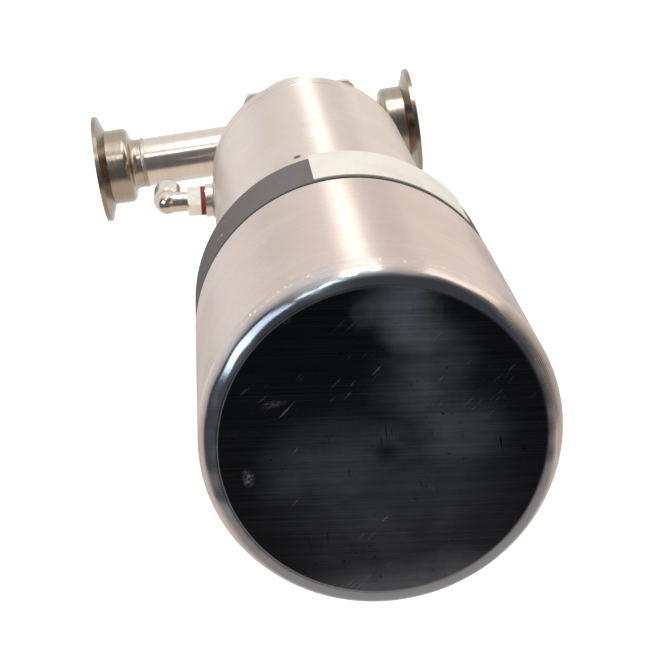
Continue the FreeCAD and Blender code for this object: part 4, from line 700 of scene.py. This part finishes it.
weld_steel, tree, shader = grained("weld_steel", 260.0, 3.0, (0.52, 0.47, 0.42, 1.0), (0.36, 0.27, 0.19, 1.0),
                                   (0.35, 0.7), (0.28, 0.48))
shader.inputs["Metallic"].default_value = 1.0
scale_marks = add(tree, "ShaderNodeTexNoise", Vector=place_of(tree), Scale=1500.0, Detail=2.0)
rough_skin = add(tree, "ShaderNodeBump", Strength=0.3, Distance=0.0003, Height=scale_marks.outputs["Fac"])
tree.links.new(rough_skin.outputs["Normal"], shader.inputs["Normal"])

# Where the beads run: both bosses' turns round the axis, and the half sizes of the ports' beads.
AIR_TURN = math.radians(-5.5)
BREATHER_TURN = math.radians(140.0)
PORT_BEAD = (0.0012, 0.0012)
FERRULE_BEAD = (0.00016, 0.0010)
barrel_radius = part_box("barrel")[1].y
housing_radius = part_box("spring_housing")[1].y
chamber_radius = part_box("pinch_chamber")[1].y
tube_low, tube_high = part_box("long_port_tube")
tube_radius = (tube_high.z - tube_low.z) / 2
port_height = (tube_high.z + tube_low.z) / 2
for name, turn_angle, shell in (("air_boss", AIR_TURN, barrel_radius),
                                ("breather_boss", BREATHER_TURN, housing_radius)):
    low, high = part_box(name)
    away = np.array([math.cos(turn_angle), math.sin(turn_angle), 0.0])
    weld_bead(name + "_weld", away, (low.z + high.z) / 2, (high.z - low.z) / 2, shell_radius=shell)
PORT_WAYS = (("long", np.array([1.0, 0.0, 0.0])), ("short", np.array([-1.0, 0.0, 0.0])))
for port, away in PORT_WAYS:
    weld_bead(port + "_port_weld", away, port_height, tube_radius, shell_radius=chamber_radius,
              size=PORT_BEAD)
for port, away in PORT_WAYS:
    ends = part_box(port + "_port_tube")
    weld_bead(port + "_ferrule_weld", away, port_height, tube_radius,
              butt_at=max(abs(ends[0].x), abs(ends[1].x)), size=FERRULE_BEAD, ripples=90)

# Floor and light: a pale seamless floor that shows white but keeps the valve's shadow, a long soft
# window beyond the label's side, which draws the streak down both shells, and a pale room around.
FLOOR_HALF = 6.0
# The floor's glow for the rays that see it, what the camera's own get on top, and the room's light share.
FLOOR_GLOW, FLOOR_WHITE = 0.56, 0.18
ROOM_SHARE = 0.72


def seen_rays(tree):
    """Masks of rays that see a surface: the camera's, and the camera's, mirrored and transmitted ones."""
    paths = add(tree, "ShaderNodeLightPath").outputs
    seen = maths(tree, "MAXIMUM", paths["Is Camera Ray"], paths["Is Glossy Ray"])
    seen = maths(tree, "MAXIMUM", seen, paths["Is Transmission Ray"])
    return paths["Is Camera Ray"], seen


floor_mesh = bpy.data.meshes.new("floor")
floor_mesh.from_pydata([(-FLOOR_HALF, -FLOOR_HALF, 0), (FLOOR_HALF, -FLOOR_HALF, 0),
                        (FLOOR_HALF, FLOOR_HALF, 0), (-FLOOR_HALF, FLOOR_HALF, 0)], [], [(0, 1, 2, 3)])
floor = bpy.data.objects.new("floor", floor_mesh)
bpy.context.scene.collection.objects.link(floor)
floor_material, tree, shader = new_material("floor_pale")
shader.inputs["Base Color"].default_value = (0.82, 0.82, 0.82, 1.0)
shader.inputs["Roughness"].default_value = 0.9
shader.inputs["Emission Color"].default_value = (1.0, 1.0, 1.0, 1.0)
camera_ray, seen = seen_rays(tree)
glow = maths(tree, "MULTIPLY", seen, FLOOR_GLOW)
glow = maths(tree, "MULTIPLY_ADD", camera_ray, FLOOR_WHITE, glow)
tree.links.new(glow, shader.inputs["Emission Strength"])
floor_mesh.materials.append(floor_material)

world = bpy.data.worlds.new("pale_room")
bpy.context.scene.world = world
world.use_nodes = True
tree = world.node_tree
room = tree.nodes["Background"]
# The room is pale beyond the label's side and behind, and dim overhead and to the left and right,
# which is what the polished faces mirror: dim above the floor where |y + ROOM_MIDDLE| is small, with y
# of the way looked in.
ROOM_MIDDLE = 0.14
ROOM_DIM = (0.165, 0.17, 0.18, 1.0)
ROOM_WARM = (1.0, 0.91, 0.81, 1.0)
way = add(tree, "ShaderNodeTexCoord")
parts = add(tree, "ShaderNodeSeparateXYZ", Vector=way.outputs["Generated"])
aside = maths(tree, "ADD", parts.outputs["Y"], ROOM_MIDDLE)
aside = maths(tree, "ABSOLUTE", aside)
dim = maths(tree, "MULTIPLY", spread(tree, aside, 1.0, 0.0, 0.56, 0.74),
            spread(tree, parts.outputs["Z"], 0.0, 1.0, 0.02, 0.12))
pale = blend_colours(tree, spread(tree, parts.outputs["Y"], 0.0, 1.0, -0.2, 0.4), (1.0, 1.0, 1.0, 1.0),
                     ROOM_WARM)
tone = blend_colours(tree, dim, pale, ROOM_DIM)
camera_ray, seen = seen_rays(tree)
shown = blend_colours(tree, camera_ray, tone, (1.0, 1.0, 1.0, 1.0))
tree.links.new(shown, room.inputs["Color"])
tree.links.new(spread(tree, seen, ROOM_SHARE, 1.0), room.inputs["Strength"])


def soft_light(name, place, aim, size, power, colour=(1.0, 1.0, 1.0)):
    """A rectangular area lamp at a place, facing a point."""
    data = bpy.data.lights.new(name, "AREA")
    data.shape = "RECTANGLE"
    data.size, data.size_y = size
    data.energy = power
    data.color = colour
    lamp = bpy.data.objects.new(name, data)
    bpy.context.scene.collection.objects.link(lamp)
    facing = (Vector(aim) - Vector(place)).to_track_quat("-Z", "Y")
    lamp.matrix_world = Matrix.Translation(Vector(place)) @ facing.to_matrix().to_4x4()


soft_light("window", (-0.10, -1.7, 0.5), (0.0, 0.0, 0.25), (0.04, 0.9), 10.4, (0.97, 0.99, 1.0))
soft_light("label_side_pane", (0.31, -1.20, 1.30), (0.0, -0.05, 0.4), (0.45, 0.32), 2.4, (0.86, 0.93, 1.0))
soft_light("left_pane", (0.985, -0.58, 1.42), (0.034, -0.037, 0.4), (0.74, 1.00), 9.2, (0.78, 0.87, 1.0))
soft_light("right_fill", (-1.2, -1.1, 0.25), (0.0, 0.0, 0.25), (1.1, 0.5), 5.2, (1.0, 0.96, 0.92))
